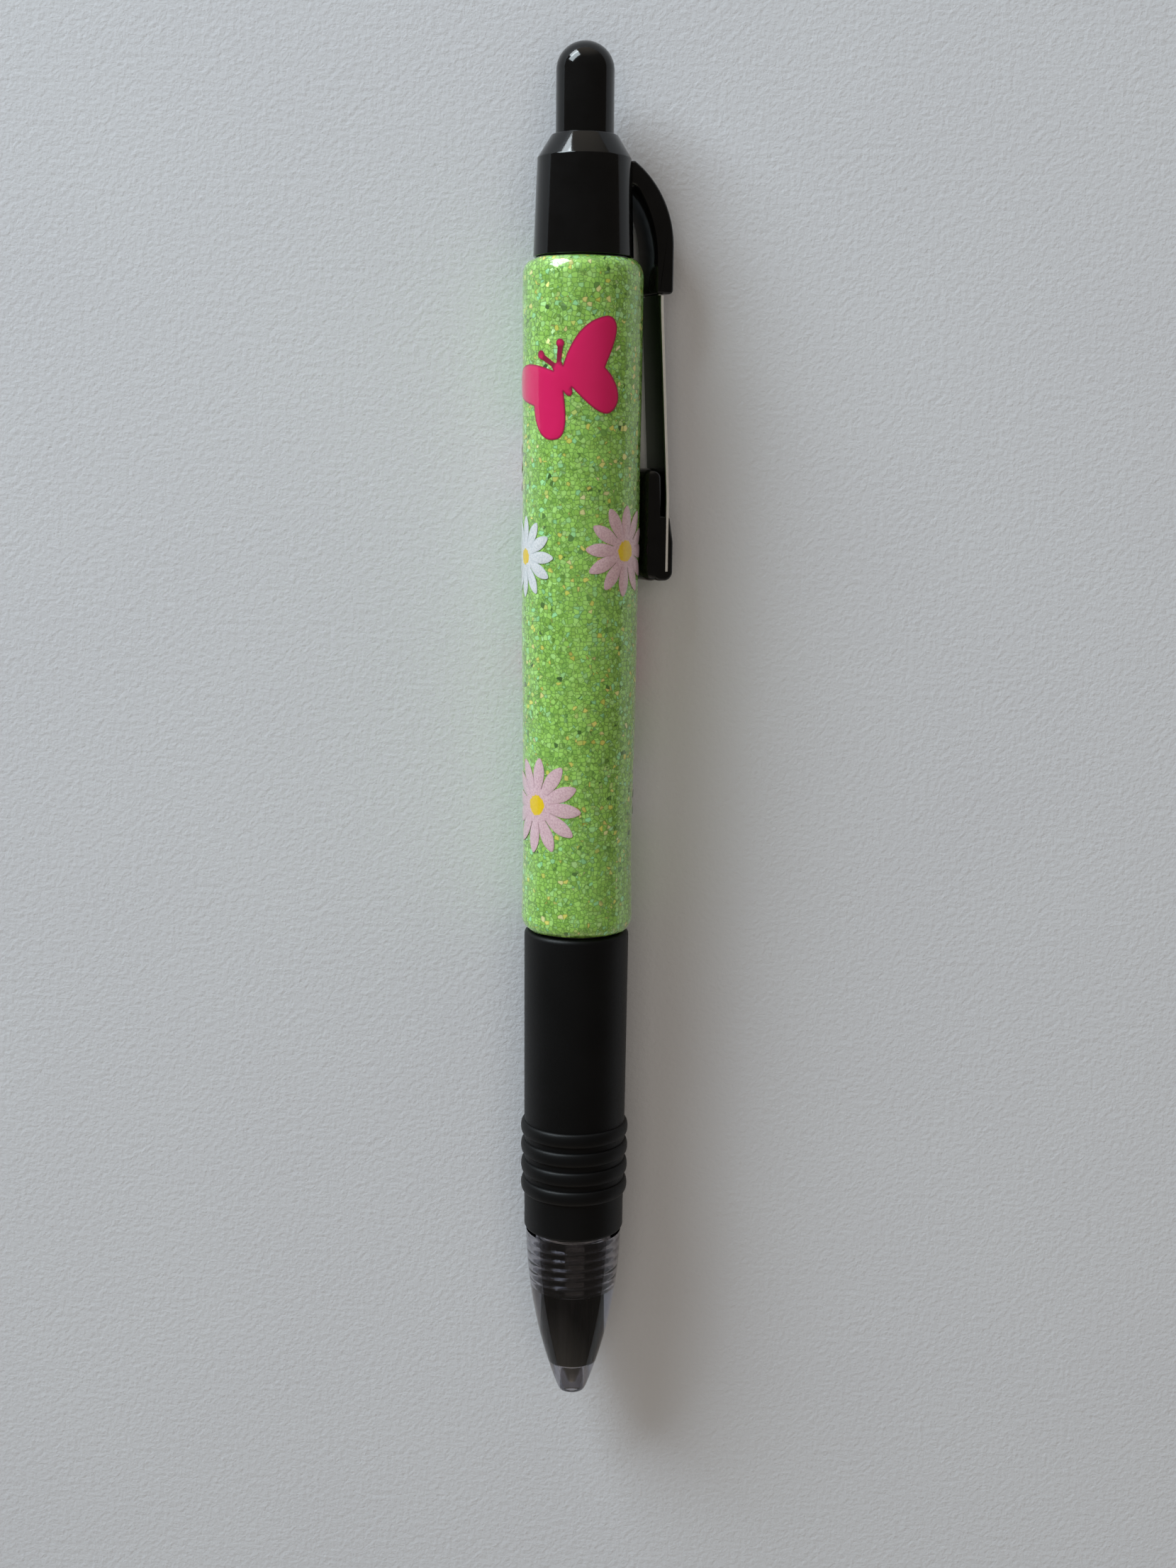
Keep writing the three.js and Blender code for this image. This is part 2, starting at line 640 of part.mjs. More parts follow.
function clipLeaf() {
  const mouth = armEnd - END_GAP;
  const tang = pushed(
    [
      [leafInner, mouth - TANG_LAP],
      [leafInner + LEAF_THICKNESS, mouth - TANG_LAP],
      [leafInner + LEAF_THICKNESS, armEnd + TANG_LENGTH],
      [leafInner, armEnd + TANG_LENGTH],
    ],
    -TANG_WIDTH / 2,
    TANG_WIDTH / 2,
  );
  const blade = pushed(
    [
      [leafInner, mouth],
      [leafInner, mouth - TANG_LAP],
      [leafTipInner, leafBend],
      [leafTipInner, leafEnd],
      [leafTipInner + LEAF_THICKNESS, leafEnd],
      [leafTipInner + LEAF_THICKNESS, leafBend],
      [leafInner + LEAF_THICKNESS, mouth - TANG_LAP],
      [leafInner + LEAF_THICKNESS, mouth],
    ],
    -LEAF_WIDTH / 2,
    LEAF_WIDTH / 2,
  );
  return joined(blade, [tang]);
}

function clipTip() {
  const padInner = sleeveRadius(padRear) + TIP_OVER_SLEEVE;
  const padOuter = leafTipInner - FIT;
  const padRearShare = Math.max(padRear - leafBend, 0) / LEAF_SPLAY_LENGTH;
  const padRearOuter = padOuter - LEAF_RISE * padRearShare;
  const lobeInner = leafTipInner + LEAF_THICKNESS + FIT;
  const seat = leafEnd - FIT;
  const round = Math.min(PAD_ROUND, (padRearOuter - padInner) / 2 - FIT);
  const nib = Math.min(LOBE_THICKNESS, round) - FIT;
  const outline = [
    ...arc(padInner + round, tipFront + round, round, round, 180, 270, 4),
    ...arc(lobeOuter - nib, tipFront + nib, nib, nib, -90, 0, 3),
    [lobeOuter, tipFront + LOBE_LENGTH - LOBE_TAPER],
    [lobeInner + LOBE_EDGE, tipFront + LOBE_LENGTH],
    [lobeInner, tipFront + LOBE_LENGTH],
    [lobeInner, seat],
    [padOuter, seat],
    [padOuter, leafBend],
    ...arc(padRearOuter - round, padRear - round, round, round, 0, 90, 4),
    ...arc(padInner + round, padRear - round, round, round, 90, 180, 4),
  ];
  return pushed(outline, -TIP_WIDTH / 2, TIP_WIDTH / 2);
}

// ---------------------------------------------------------------- push button and cams

// A gabled prism that cuts the hollow between two teeth, or the slopes of one tooth. side is 1 to
// cut into an end that faces the nose, and -1 for one that faces the button.
function notch(at, side, turn) {
  const half = (skirtRadius * Math.PI) / TEETH;
  const outline = [
    [-half, at - side],
    [half, at - side],
    [half, at],
    [0, at + side * TOOTH_DEPTH],
    [-half, at],
  ];
  if (side < 0) {
    outline.reverse();
  }
  return radial(outline, CORE_BORE_RADIUS - SLIDE / 2, skirtRadius + CUT_OVER, turn);
}

function around(count, make) {
  return Array.from({ length: count }, (unused, i) => make((2 * Math.PI * i) / count));
}

function pushButton() {
  const boreTop = flangeTop + CORE_BORE_ABOVE_FLANGE;
  const domeBase = OVERALL_LENGTH - DOME_HEIGHT;
  const dome = arc(0, domeBase, BUTTON_RADIUS, DOME_HEIGHT, 0, 90, 7).slice(0, -1);
  const body = turned(
    [
      [0, boreTop],
      [CORE_BORE_RADIUS, boreTop - BORE_CONE_HEIGHT],
      [CORE_BORE_RADIUS, toothTips],
      [skirtRadius, toothTips],
      [skirtRadius, flangeBottom],
      [flangeRadius, flangeBottom],
      [flangeRadius, flangeTop],
      [BUTTON_RADIUS, flangeTop],
      ...dome,
      [0, OVERALL_LENGTH],
    ],
    CORE_SIDES,
  );
  const lugBottom = toothTips + LUG_ABOVE_TEETH;
  const lugs = around(LUG_COUNT, (turn) =>
    radial(
      [
        [-LUG_WIDTH / 2, lugBottom],
        [LUG_WIDTH / 2, lugBottom],
        [LUG_WIDTH / 2, lugBottom + LUG_LENGTH],
        [-LUG_WIDTH / 2, lugBottom + LUG_LENGTH],
      ],
      skirtRadius - ROOT_DEPTH,
      finRadius - SLIDE,
      turn + Math.PI / LUG_COUNT,
    ),
  );
  const notches = around(TEETH, (turn) => notch(toothTips, 1, turn));
  return joined(body, lugs, notches);
}

function camRotor() {
  const stemRadius = CORE_BORE_RADIUS - SLIDE;
  const crownRadius = skirtRadius - FIT;
  const body = turned(
    [
      [0, rotorFoot],
      [ROTOR_FOOT_RADIUS, rotorFoot],
      [ROTOR_FOOT_RADIUS, rotorFinBottom],
      [crownRadius, rotorFinBottom],
      [crownRadius, rotorTeeth],
      [stemRadius, rotorTeeth],
      [stemRadius, rotorTeeth + ROTOR_STEM_LENGTH],
      [0, rotorTeeth + ROTOR_STEM_LENGTH],
    ],
    CORE_SIDES,
  );
  const half = ROTOR_FIN_WIDTH / 2;
  const fins = around(LUG_COUNT, (turn) =>
    radial(
      [
        [-half, rotorFinBottom],
        [half, rotorFinBottom],
        [half, rotorFinTop - half],
        [-half, rotorFinTop],
      ],
      crownRadius - ROOT_DEPTH,
      finRadius - FIT,
      turn + Math.PI / LUG_COUNT,
    ),
  );
  const notches = around(TEETH, (turn) => notch(rotorTeeth, -1, turn + Math.PI / TEETH));
  return joined(body, fins, notches);
}

// The fixed guide: its ribs keep the button's lugs from turning and end in sloping cam faces.
function camSleeve() {
  const tube = turned(
    [
      [camBoreRadius, camBottom],
      [camRadius, camBottom],
      [camRadius, camTop],
      [camBoreRadius, camTop],
    ],
    CORE_SIDES,
  );
  const half = CAM_RIB_WIDTH / 2;
  const ribs = around(LUG_COUNT, (turn) =>
    radial(
      [
        [-half, camRibBottom + CAM_RIB_SLOPE],
        [half, camRibBottom],
        [half, camTop],
        [-half, camTop],
      ],
      camRibInner,
      (camBoreRadius + camRadius) / 2,
      turn,
    ),
  );
  return joined(tube, ribs);
}

// ---------------------------------------------------------------- refill

function refillTube() {
  return turned(
    [
      [tubeBoreRadius, tubeFront],
      [REFILL_RADIUS, tubeFront],
      [REFILL_RADIUS, tubeRear],
      [tubeBoreRadius, tubeRear],
    ],
    CORE_SIDES,
  );
}

function column(radius, front, rear) {
  return turned(
    [
      [0, front],
      [radius, front],
      [radius, rear],
      [0, rear],
    ],
    CORE_SIDES,
  );
}

function refillNose() {
  const bore = POINT_TAIL_RADIUS + FIT;
  return turned(
    [
      [bore, neckFront],
      [neckRadius, neckFront],
      [neckRadius, collarFront],
      [REFILL_RADIUS, collarFront],
      [REFILL_RADIUS, collarRear],
      [fillRadius, collarRear],
      [fillRadius, plugRear],
      [bore, plugRear],
    ],
    CORE_SIDES,
  );
}

function refillTailPlug() {
  return turned(
    [
      [TAIL_VENT_RADIUS, tubeRear - TAIL_PLUG_LENGTH],
      [fillRadius, tubeRear - TAIL_PLUG_LENGTH],
      [fillRadius, tubeRear + END_GAP],
      [REFILL_RADIUS, tubeRear + END_GAP],
      [REFILL_RADIUS, refillRear],
      [TAIL_VENT_RADIUS, refillRear],
    ],
    CORE_SIDES,
  );
}

function refillPoint() {
  const socket = BALL_RADIUS + BALL_CLEARANCE;
  const rim = pointTip + BALL_SHOWING * BALL_RADIUS;
  const seat = pointTip + 2 * BALL_RADIUS + BALL_CLEARANCE;
  const feed = BALL_RADIUS / 2;
  return turned(
    [
      [socket, rim],
      [socket + SOCKET_LIP, rim],
      [POINT_RADIUS, pointTip + POINT_CONE_LENGTH],
      [POINT_RADIUS, pointRear],
      [POINT_TAIL_RADIUS, pointRear],
      [POINT_TAIL_RADIUS, pointRear + POINT_TAIL_LENGTH],
      [INK_CHANNEL_RADIUS, pointRear + POINT_TAIL_LENGTH],
      [INK_CHANNEL_RADIUS, pointTip + POINT_CONE_LENGTH],
      [feed, pointTip + POINT_CONE_LENGTH - FEED_TAPER],
      [feed, seat],
      [socket, seat],
    ],
    SMALL_SIDES,
  );
}

class Helix extends THREE.Curve {
  constructor(radius, turns, from, to) {
    super();
    Object.assign(this, { radius, turns, from, to });
  }

  getPoint(share, target = new THREE.Vector3()) {
    const angle = 2 * Math.PI * this.turns * share;
    const along = THREE.MathUtils.lerp(this.from, this.to, share);
    return target.set(this.radius * Math.sin(angle), along, this.radius * Math.cos(angle));
  }
}

function returnSpring() {
  const section = new THREE.Shape();
  section.absarc(0, 0, SPRING_WIRE_RADIUS, 0, 2 * Math.PI);
  const front = NOSE_SHOULDER + SPRING_GAP + SPRING_WIRE_RADIUS;
  const rear = collarFront - SPRING_GAP - SPRING_WIRE_RADIUS;
  return new THREE.ExtrudeGeometry(section, {
    extrudePath: new Helix(SPRING_MEAN_RADIUS, SPRING_TURNS, front, rear),
    steps: SPRING_TURNS * SPRING_STEPS_PER_TURN,
    curveSegments: 3,
    bevelEnabled: false,
  });
}

// ---------------------------------------------------------------- assembly

const pen = new THREE.Group();
const clipSide = new THREE.Group();
clipSide.rotation.y = clipRoll;
pen.add(clipSide);

addPart(pen, 'nose_cone', noseCone(), FINISH.smokeClear);
addPart(pen, 'barrel', barrel(), FINISH.blackGloss);
addPart(pen, 'rubber_grip', rubberGrip(), FINISH.rubber);
addPart(pen, 'glitter_sleeve', glitterSleeve(), FINISH.sleeve);

// Where each sequin lies: degrees round from the top towards +X, and its share of the way up the
// sleeve.
const degrees = THREE.MathUtils.degToRad;
const alongSleeve = (share) => THREE.MathUtils.lerp(sleeveFront, sleeveRear, share);
const BUTTERFLIES = [
  { around: degrees(-18.7), share: 0.828, lean: degrees(26) },
  { around: degrees(168), share: 0.405, lean: degrees(-24) },
];
const DAISIES = [
  { around: degrees(-66.5), share: 0.57, reach: 4.2, finish: FINISH.whiteSequin },
  { around: degrees(49), share: 0.581, reach: 4.7, finish: FINISH.pinkSequin },
  { around: degrees(-46.6), share: 0.201, reach: 5.2, finish: FINISH.pinkSequin },
  { around: degrees(130), share: 0.201, reach: 4.4, finish: FINISH.whiteSequin },
  { around: degrees(-125), share: 0.7, reach: 4.6, finish: FINISH.pinkSequin },
];
BUTTERFLIES.forEach((one, i) => {
  const geometry = butterfly(one.around, alongSleeve(one.share), one.lean);
  addPart(pen, `butterfly_${i + 1}`, geometry, FINISH.pink);
});
DAISIES.forEach((one, i) => {
  addPart(pen, `daisy_${i + 1}`, daisy(one.around, alongSleeve(one.share), one.reach), one.finish);
});

addPart(clipSide, 'rear_housing', rearHousing(), FINISH.blackGloss);
addPart(clipSide, 'clip_leaf', clipLeaf(), FINISH.steel);
addPart(clipSide, 'clip_tip', clipTip(), FINISH.blackGloss);

addPart(pen, 'push_button', pushButton(), FINISH.blackGloss);
addPart(pen, 'cam_rotor', camRotor(), FINISH.whitePlastic);
addPart(pen, 'cam_sleeve', camSleeve(), FINISH.greyPlastic);

addPart(pen, 'return_spring', returnSpring(), FINISH.steel);
addPart(pen, 'refill_tube', refillTube(), FINISH.clear);
addPart(pen, 'refill_ink', column(fillRadius, inkFront, inkRear), FINISH.ink);
addPart(pen, 'refill_follower', column(fillRadius, followerFront, followerRear), FINISH.grease);
addPart(pen, 'refill_tail_plug', refillTailPlug(), FINISH.whitePlastic);
addPart(pen, 'refill_nose', refillNose(), FINISH.whitePlastic);
addPart(pen, 'refill_point', refillPoint(), FINISH.steel);
const ball = addPart(pen, 'point_ball', new THREE.SphereGeometry(BALL_RADIUS, 12, 8), FINISH.carbide);
ball.position.y = pointTip + BALL_RADIUS;

// The origin is at the centre of the pen's footprint, on the plane that it lies on.
const gelPen = new THREE.Group();
gelPen.add(pen);
gelPen.updateMatrixWorld(true);
const box = new THREE.Box3().setFromObject(pen, true);
const centre = box.getCenter(new THREE.Vector3());
pen.position.set(-centre.x, -centre.y, -box.min.z);

export default gelPen;
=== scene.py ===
"""A retractable gel pen with a glitter sleeve, lying on a sheet of paper.

Sizes are in millimetres until place() or clip_place() turns them into the row frame's metres.
"Along" is the distance from the nose's end face towards the push button.
"""

import json
import math

import bmesh
import bpy
import numpy as np
from mathutils import Matrix, Vector
from mathutils.geometry import delaunay_2d_cdt


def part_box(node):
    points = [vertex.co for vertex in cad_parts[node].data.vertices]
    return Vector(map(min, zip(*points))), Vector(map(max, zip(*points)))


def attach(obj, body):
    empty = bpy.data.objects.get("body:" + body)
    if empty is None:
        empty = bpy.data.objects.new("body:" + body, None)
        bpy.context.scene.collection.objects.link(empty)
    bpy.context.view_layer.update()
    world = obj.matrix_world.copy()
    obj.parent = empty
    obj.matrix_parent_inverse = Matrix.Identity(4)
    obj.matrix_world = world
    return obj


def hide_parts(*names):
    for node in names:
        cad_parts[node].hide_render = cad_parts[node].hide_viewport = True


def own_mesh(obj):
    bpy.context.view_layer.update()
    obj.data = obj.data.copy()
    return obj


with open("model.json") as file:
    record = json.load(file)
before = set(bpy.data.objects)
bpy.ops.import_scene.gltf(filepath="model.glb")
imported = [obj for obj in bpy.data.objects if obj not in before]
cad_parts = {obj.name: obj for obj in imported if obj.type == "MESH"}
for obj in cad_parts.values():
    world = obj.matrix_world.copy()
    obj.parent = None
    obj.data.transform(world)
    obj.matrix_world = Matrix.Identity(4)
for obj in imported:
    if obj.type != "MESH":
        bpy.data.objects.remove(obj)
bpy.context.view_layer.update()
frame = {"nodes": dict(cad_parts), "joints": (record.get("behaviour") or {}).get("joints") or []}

MM = 0.001


# ------------------------------------------------------------------ the frame's own places

def middle(node, axis):
    low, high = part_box(node)
    return (low[axis] + high[axis]) / 2


AXIS_X = middle("barrel", 0)
AXIS_Z = middle("barrel", 2)
NOSE_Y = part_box("nose_cone")[0].y
CLIP_JOINT = next(j for j in frame["joints"] if j["name"] == "clip_flex")
ACROSS = Vector(CLIP_JOINT["axis"]).normalized()  # across the clip's width
OUTWARD = Vector((ACROSS.z, 0, -ACROSS.x))  # from the pen's axis to the clip


def along_of(node, end):
    """Distance of a node's front (0) or rear (1) end from the nose's end face."""
    return (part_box(node)[end].y - NOSE_Y) / MM


def place(x, along, z):
    return Vector((AXIS_X + x * MM, NOSE_Y + along * MM, AXIS_Z + z * MM))


def clip_place(reach, along, across):
    offset = OUTWARD * reach + ACROSS * across
    return place(offset.x, along, offset.z)


GRIP_FRONT, GRIP_REAR = along_of("rubber_grip", 0), along_of("rubber_grip", 1)
SLEEVE_FRONT, SLEEVE_REAR = along_of("glitter_sleeve", 0), along_of("glitter_sleeve", 1)
NOSE_REAR = along_of("nose_cone", 1)
BARREL_FRONT, BARREL_REAR = along_of("barrel", 0), along_of("barrel", 1)
HOUSING_TOP = along_of("rear_housing", 1)
ARM_END = along_of("rear_housing", 0)
LEAF_END = along_of("clip_leaf", 0)
TANG_END = along_of("clip_leaf", 1)
TIP_FRONT, TIP_REAR = along_of("clip_tip", 0), along_of("clip_tip", 1)
BUTTON_TOP, BUTTON_FRONT = along_of("push_button", 1), along_of("push_button", 0)
POINT_FRONT, POINT_REAR = along_of("refill_point", 0), along_of("refill_point", 1)
ADAPTER_FRONT, ADAPTER_REAR = along_of("refill_nose", 0), along_of("refill_nose", 1)
SPRING_FRONT, SPRING_REAR = along_of("return_spring", 0), along_of("return_spring", 1)

# ------------------------------------------------------------------ radii and lengths, in mm

NOSE_FACE, NOSE_CROWN, NOSE_TANGENT = 1.5, 5.27, 20.0
NOSE_HOLE, NOSE_BORE, NOSE_SHOULDER = 1.22, 2.2, 3.4
SOCKET, SOCKET_THREAD = 4.1, 0.1

SPIGOT, GUIDE = 3.98, 3.2
THREAD_DEPTH, THREAD_PITCH = 0.36, 1.03
BARREL, BARREL_BORE, GRIP_SEAT, STUB = 4.9, 3.8, 4.5, 4.1
GUIDE_REAR = 26.0

GRIP_FRONT_R, GRIP_REAR_R, GRIP_BORE = 5.47, 5.65, 4.57
RINGS, RING_PITCH, RING_FIRST, RING_HALF, RING_HEIGHT = 4, 2.19, 5.05, 0.78, 0.36

SLEEVE_BORE = 4.95
# The sleeve's outer radius at distances behind its front end, read off the photo.
SLEEVE_STATIONS = ((0.0, 6.0), (2.2, 5.98), (8.0, 5.87), (13.0, 5.9),
                   (30.0, 6.12), (50.0, 6.16), (67.1, 6.25), (70.2, 6.25))

HOUSING_BASE, HOUSING_SHOULDER, HOUSING_COLLAR = 5.16, 4.82, 3.4
HOUSING_FRONT, SHOULDER_AT, HOUSING_ROOF = 123.85, 133.57, 134.6
HOUSING_CAVITY, COLLAR_HOLE = 3.6, 3.07

ARM_INNER, ARM_OUTER, ARM_HALF = 7.31, 9.31, 2.35
LEAF_INNER, LEAF_TIP_INNER, LEAF_THICK = 7.81, 8.86, 0.4
LEAF_BEND = 99.75
LEAF_HALF, TANG_HALF = 2.18, 1.6

BUTTON, BUTTON_DOME, BUTTON_FLANGE, BUTTON_SKIRT = 2.96, 2.85, 3.39, 2.64


# ------------------------------------------------------------------ mesh helpers

def finish_piece(name, mesh, body, material, nodes=(), sharp=35):
    """Makes a piece of a mesh in the row frame, riding on a body and standing for CAD nodes."""
    tidy = bmesh.new()
    tidy.from_mesh(mesh)
    bmesh.ops.remove_doubles(tidy, verts=tidy.verts, dist=1e-8)
    bmesh.ops.recalc_face_normals(tidy, faces=tidy.faces)
    tidy.to_mesh(mesh)
    tidy.free()
    mesh.shade_smooth()
    mesh.set_sharp_from_angle(angle=math.radians(sharp))
    piece = bpy.data.objects.new(name, mesh)
    bpy.context.scene.collection.objects.link(piece)
    mesh.materials.clear()
    mesh.materials.append(material)
    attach(piece, body)
    if nodes:
        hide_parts(*nodes)
    return piece


def mesh_of(name, points, faces):
    mesh = bpy.data.meshes.new(name)
    mesh.from_pydata([tuple(p) for p in points], [], faces)
    mesh.update()
    return mesh


def rounded(corners, steps=5):
    """Points of a closed outline whose corners, each (x, y, radius), are rounded."""
    points = []
    for i, (x, y, radius) in enumerate(corners):
        here = Vector((x, y))
        if not radius:
            points.append((x, y))
            continue
        back = Vector(corners[i - 1][:2]) - here
        on = Vector(corners[(i + 1) % len(corners)][:2]) - here
        half = back.angle(on) / 2
        cut = min(radius / math.tan(half), 0.48 * back.length, 0.48 * on.length)
        radius = cut * math.tan(half)
        centre = here + (back.normalized() + on.normalized()).normalized() * (radius / math.sin(half))
        start = here + back.normalized() * cut - centre
        end = here + on.normalized() * cut - centre
        first = math.atan2(start.y, start.x)
        sweep = (math.atan2(end.y, end.x) - first + math.pi) % (2 * math.pi) - math.pi
        for k in range(steps + 1):
            angle = first + sweep * k / steps
            points.append((centre.x + radius * math.cos(angle), centre.y + radius * math.sin(angle)))
    return points


def lathe(name, profile, segments=96, shift=None):
    """Turns (radius, along) points, up the outside and down the inside, about the pen's axis."""
    points, rows, faces = [], [], []
    for radius, along in profile:
        if radius < 1e-6:
            rows.append([len(points)] * segments)
            points.append(place(0, along, 0))
            continue
        rows.append(list(range(len(points), len(points) + segments)))
        for i in range(segments):
            angle = 2 * math.pi * i / segments
            r, a = shift(angle, radius, along) if shift else (radius, along)
            points.append(place(r * math.sin(angle), a, r * math.cos(angle)))
    on_axis = profile[0][0] < 1e-6
    for k in range(len(rows) - (1 if on_axis else 0)):
        near, far = rows[k], rows[(k + 1) % len(rows)]
        for i in range(segments):
            j = (i + 1) % segments
            corners = list(dict.fromkeys([near[i], near[j], far[j], far[i]]))
            if len(corners) > 2:
                faces.append(corners)
    return mesh_of(name, points, faces)


def slab(name, outline, half, edge, segments):
    """An outline of (reach, along) points pushed across the clip, its long edges rounded."""
    count = len(outline)
    points = [clip_place(x, y, side * half) for side in (-1, 1) for x, y in outline]
    faces = [list(range(count))[::-1], list(range(count, 2 * count))]
    for i in range(count):
        j = (i + 1) % count
        faces.append([i, j, count + j, count + i])
    mesh = mesh_of(name, points, faces)
    shape = bmesh.new()
    shape.from_mesh(mesh)
    bmesh.ops.recalc_face_normals(shape, faces=shape.faces)
    rims = [e for e in shape.edges if len(e.link_faces) == 2 and e.calc_face_angle(0) > math.radians(40)]
    bmesh.ops.bevel(shape, geom=rims, offset=edge * MM, segments=segments, profile=0.5, affect="EDGES")
    bmesh.ops.triangulate(shape, faces=[f for f in shape.faces if len(f.verts) > 4])
    shape.to_mesh(mesh)
    shape.free()
    return mesh


def combined(name, base, operations):
    """A mesh joined with, or cut by, other meshes."""
    work = bpy.data.objects.new(name + "_work", base)
    bpy.context.scene.collection.objects.link(work)
    helpers = []
    for kind, mesh in operations:
        helper = bpy.data.objects.new(name + "_tool", mesh)
        bpy.context.scene.collection.objects.link(helper)
        helpers.append(helper)
        modifier = work.modifiers.new(kind, "BOOLEAN")
        modifier.operation = kind
        modifier.solver = "EXACT"
        modifier.object = helper
    bpy.context.view_layer.update()
    result = bpy.data.meshes.new_from_object(work.evaluated_get(bpy.context.evaluated_depsgraph_get()))
    for thing in (work, *helpers):
        bpy.data.objects.remove(thing)
    result.name = name
    return result


# ------------------------------------------------------------------ materials

class Look:
    """A node material around one Principled shader."""

    def __init__(self, name, **values):
        self.material = bpy.data.materials.new(name)
        self.material.use_nodes = True
        self.tree = self.material.node_tree
        self.shader = self.tree.nodes["Principled BSDF"]
        self.set(self.shader, values)

    def set(self, node, values):
        for key, value in values.items():
            socket = node.inputs[key] if isinstance(key, int) else node.inputs[key.replace("_", " ")]
            if isinstance(value, bpy.types.NodeSocket):
                self.tree.links.new(value, socket)
            elif hasattr(value, "__len__") and socket.type == "RGBA" and len(value) == 3:
                socket.default_value = (*value, 1)
            else:
                socket.default_value = value

    def node(self, kind, inputs=None, **settings):
        node = self.tree.nodes.new(kind)
        for key, value in settings.items():
            setattr(node, key, value)
        self.set(node, inputs or {})
        return node

    def where(self):
        return self.node("ShaderNodeTexCoord").outputs["Object"]

    def noise(self, scale, detail=3, roughness=0.5, vector=None):
        inputs = {"Vector": vector or self.where(), "Scale": scale, "Detail": detail, "Roughness": roughness}
        return self.node("ShaderNodeTexNoise", inputs)

    def math(self, operation, a, b=0.0, c=None):
        inputs = {0: a, 1: b}
        if c is not None:
            inputs[2] = c
        return self.node("ShaderNodeMath", inputs, operation=operation).outputs[0]

    def vector(self, operation, a, b=(0, 0, 0), scale=None):
        inputs = {0: a, 1: b}
        if scale is not None:
            inputs = {0: a, 3: scale}
        return self.node("ShaderNodeVectorMath", inputs, operation=operation).outputs[0]

    def ramp(self, factor, stops):
        node = self.node("ShaderNodeValToRGB", {0: factor})
        ramp = node.color_ramp
        while len(ramp.elements) < len(stops):
            ramp.elements.new(1)
        for element, (position, colour) in zip(ramp.elements, stops):
            element.position = position
            element.color = (*colour, 1)
        return node.outputs[0]

    def rise(self, factor, start, stop):
        """From 0 at start to 1 at stop."""
        return self.ramp(factor, [(start, (0, 0, 0)), (stop, (1, 1, 1))])

    def scaled(self, value, low, high):
        return self.node("ShaderNodeMapRange", {0: value, 3: low, 4: high}).outputs[0]

    def mix(self, factor, a, b):
        node = self.node("ShaderNodeMix", data_type="RGBA")
        self.set(node, {0: factor, 6: a, 7: b})
        return node.outputs[2]

    def attribute(self, name):
        return self.node("ShaderNodeAttribute", attribute_name=name).outputs["Fac"]

    def bump(self, height, strength, distance):
        inputs = {"Height": height, "Strength": strength, "Distance": distance}
        return self.node("ShaderNodeBump", inputs).outputs[0]

    def resin_swell(self):
        """The gentle unevenness of the clear resin over the flakes and the films."""
        return self.bump(self.noise(420, 2).outputs[0], 0.25, 0.0001)


def srgb(r, g, b):
    """A colour given as 0 to 255 display values, in the linear values that shaders take."""
    shares = (r / 255, g / 255, b / 255)
    return tuple(c / 12.92 if c <= 0.04045 else ((c + 0.055) / 1.055) ** 2.4 for c in shares)


FLAKE_LAYERS = ((2150, (0, 0, 0)), (2400, (3.1, 1.7, 5.3)))  # flakes per metre and shift, upper layer first
FLAKE_COLOURS = (
    (0.0, (24, 56, 18)), (0.02, (134, 184, 78)), (0.3, (160, 214, 92)), (0.62, (178, 234, 112)),
    (0.85, (190, 244, 140)), (0.94, (168, 246, 180)), (0.965, (236, 236, 100)), (0.985, (255, 244, 130)),
    (1.0, (255, 255, 190)),
)


def glitter():
    """Overlapping flakes in two layers under clear resin, each flake with its own green and lean."""
    look = Look("sleeve_glitter", Metallic=0.12, Coat_Weight=1.0, Coat_Roughness=0.03, Coat_IOR=1.5)
    where = look.where()
    layers = []
    for scale, offset in FLAKE_LAYERS:
        inputs = {"Vector": look.vector("ADD", where, offset), "Scale": scale, "Randomness": 0.8}
        cells = look.node("ShaderNodeTexVoronoi", inputs)
        rim = look.node("ShaderNodeTexVoronoi", inputs, feature="DISTANCE_TO_EDGE")
        parts = look.node("ShaderNodeSeparateColor", {0: cells.outputs["Color"]})
        colour = look.ramp(parts.outputs[0], [(position, srgb(*shade)) for position, shade in FLAKE_COLOURS])
        dark_rim = look.mix(0.7, colour, srgb(52, 98, 32))
        flake = look.mix(look.rise(rim.outputs["Distance"], 0.0, 0.15), dark_rim, colour)
        layers.append((flake, cells.outputs["Color"], parts))
    (upper_flake, upper_tilt, upper_parts), (lower_flake, lower_tilt, _) = layers
    upper = look.math("GREATER_THAN", upper_parts.outputs[1], 0.4)
    colour = look.mix(upper, lower_flake, upper_flake)
    broad = look.noise(140, 2, vector=where)
    colour = look.mix(look.scaled(broad.outputs[0], -0.1, 0.3), colour, srgb(172, 232, 132))
    tilt = look.mix(upper, lower_tilt, upper_tilt)
    lean = look.vector("SCALE", look.vector("SUBTRACT", tilt, (0.5, 0.5, 0.5)), scale=0.4)
    surface = look.node("ShaderNodeNewGeometry").outputs["Normal"]
    normal = look.vector("NORMALIZE", look.vector("ADD", surface, lean))
    look.set(look.shader, {"Base Color": colour, "Normal": normal, "Coat Normal": look.resin_swell(),
                           "Roughness": look.scaled(upper_parts.outputs[2], 0.2, 0.45)})
    return look.material


def pink_film():
    look = Look("pink_film", Roughness=0.35, Coat_Weight=1.0, Coat_Roughness=0.03)
    edge = look.attribute("edge")
    broad = look.noise(350, 2)
    body = look.mix(broad.outputs[0], srgb(224, 8, 94), srgb(236, 18, 108))
    colour = look.mix(look.rise(edge, 0.0, 0.22), srgb(150, 6, 62), body)
    look.set(look.shader, {"Base Color": colour, "Coat Normal": look.resin_swell()})
    return look.material


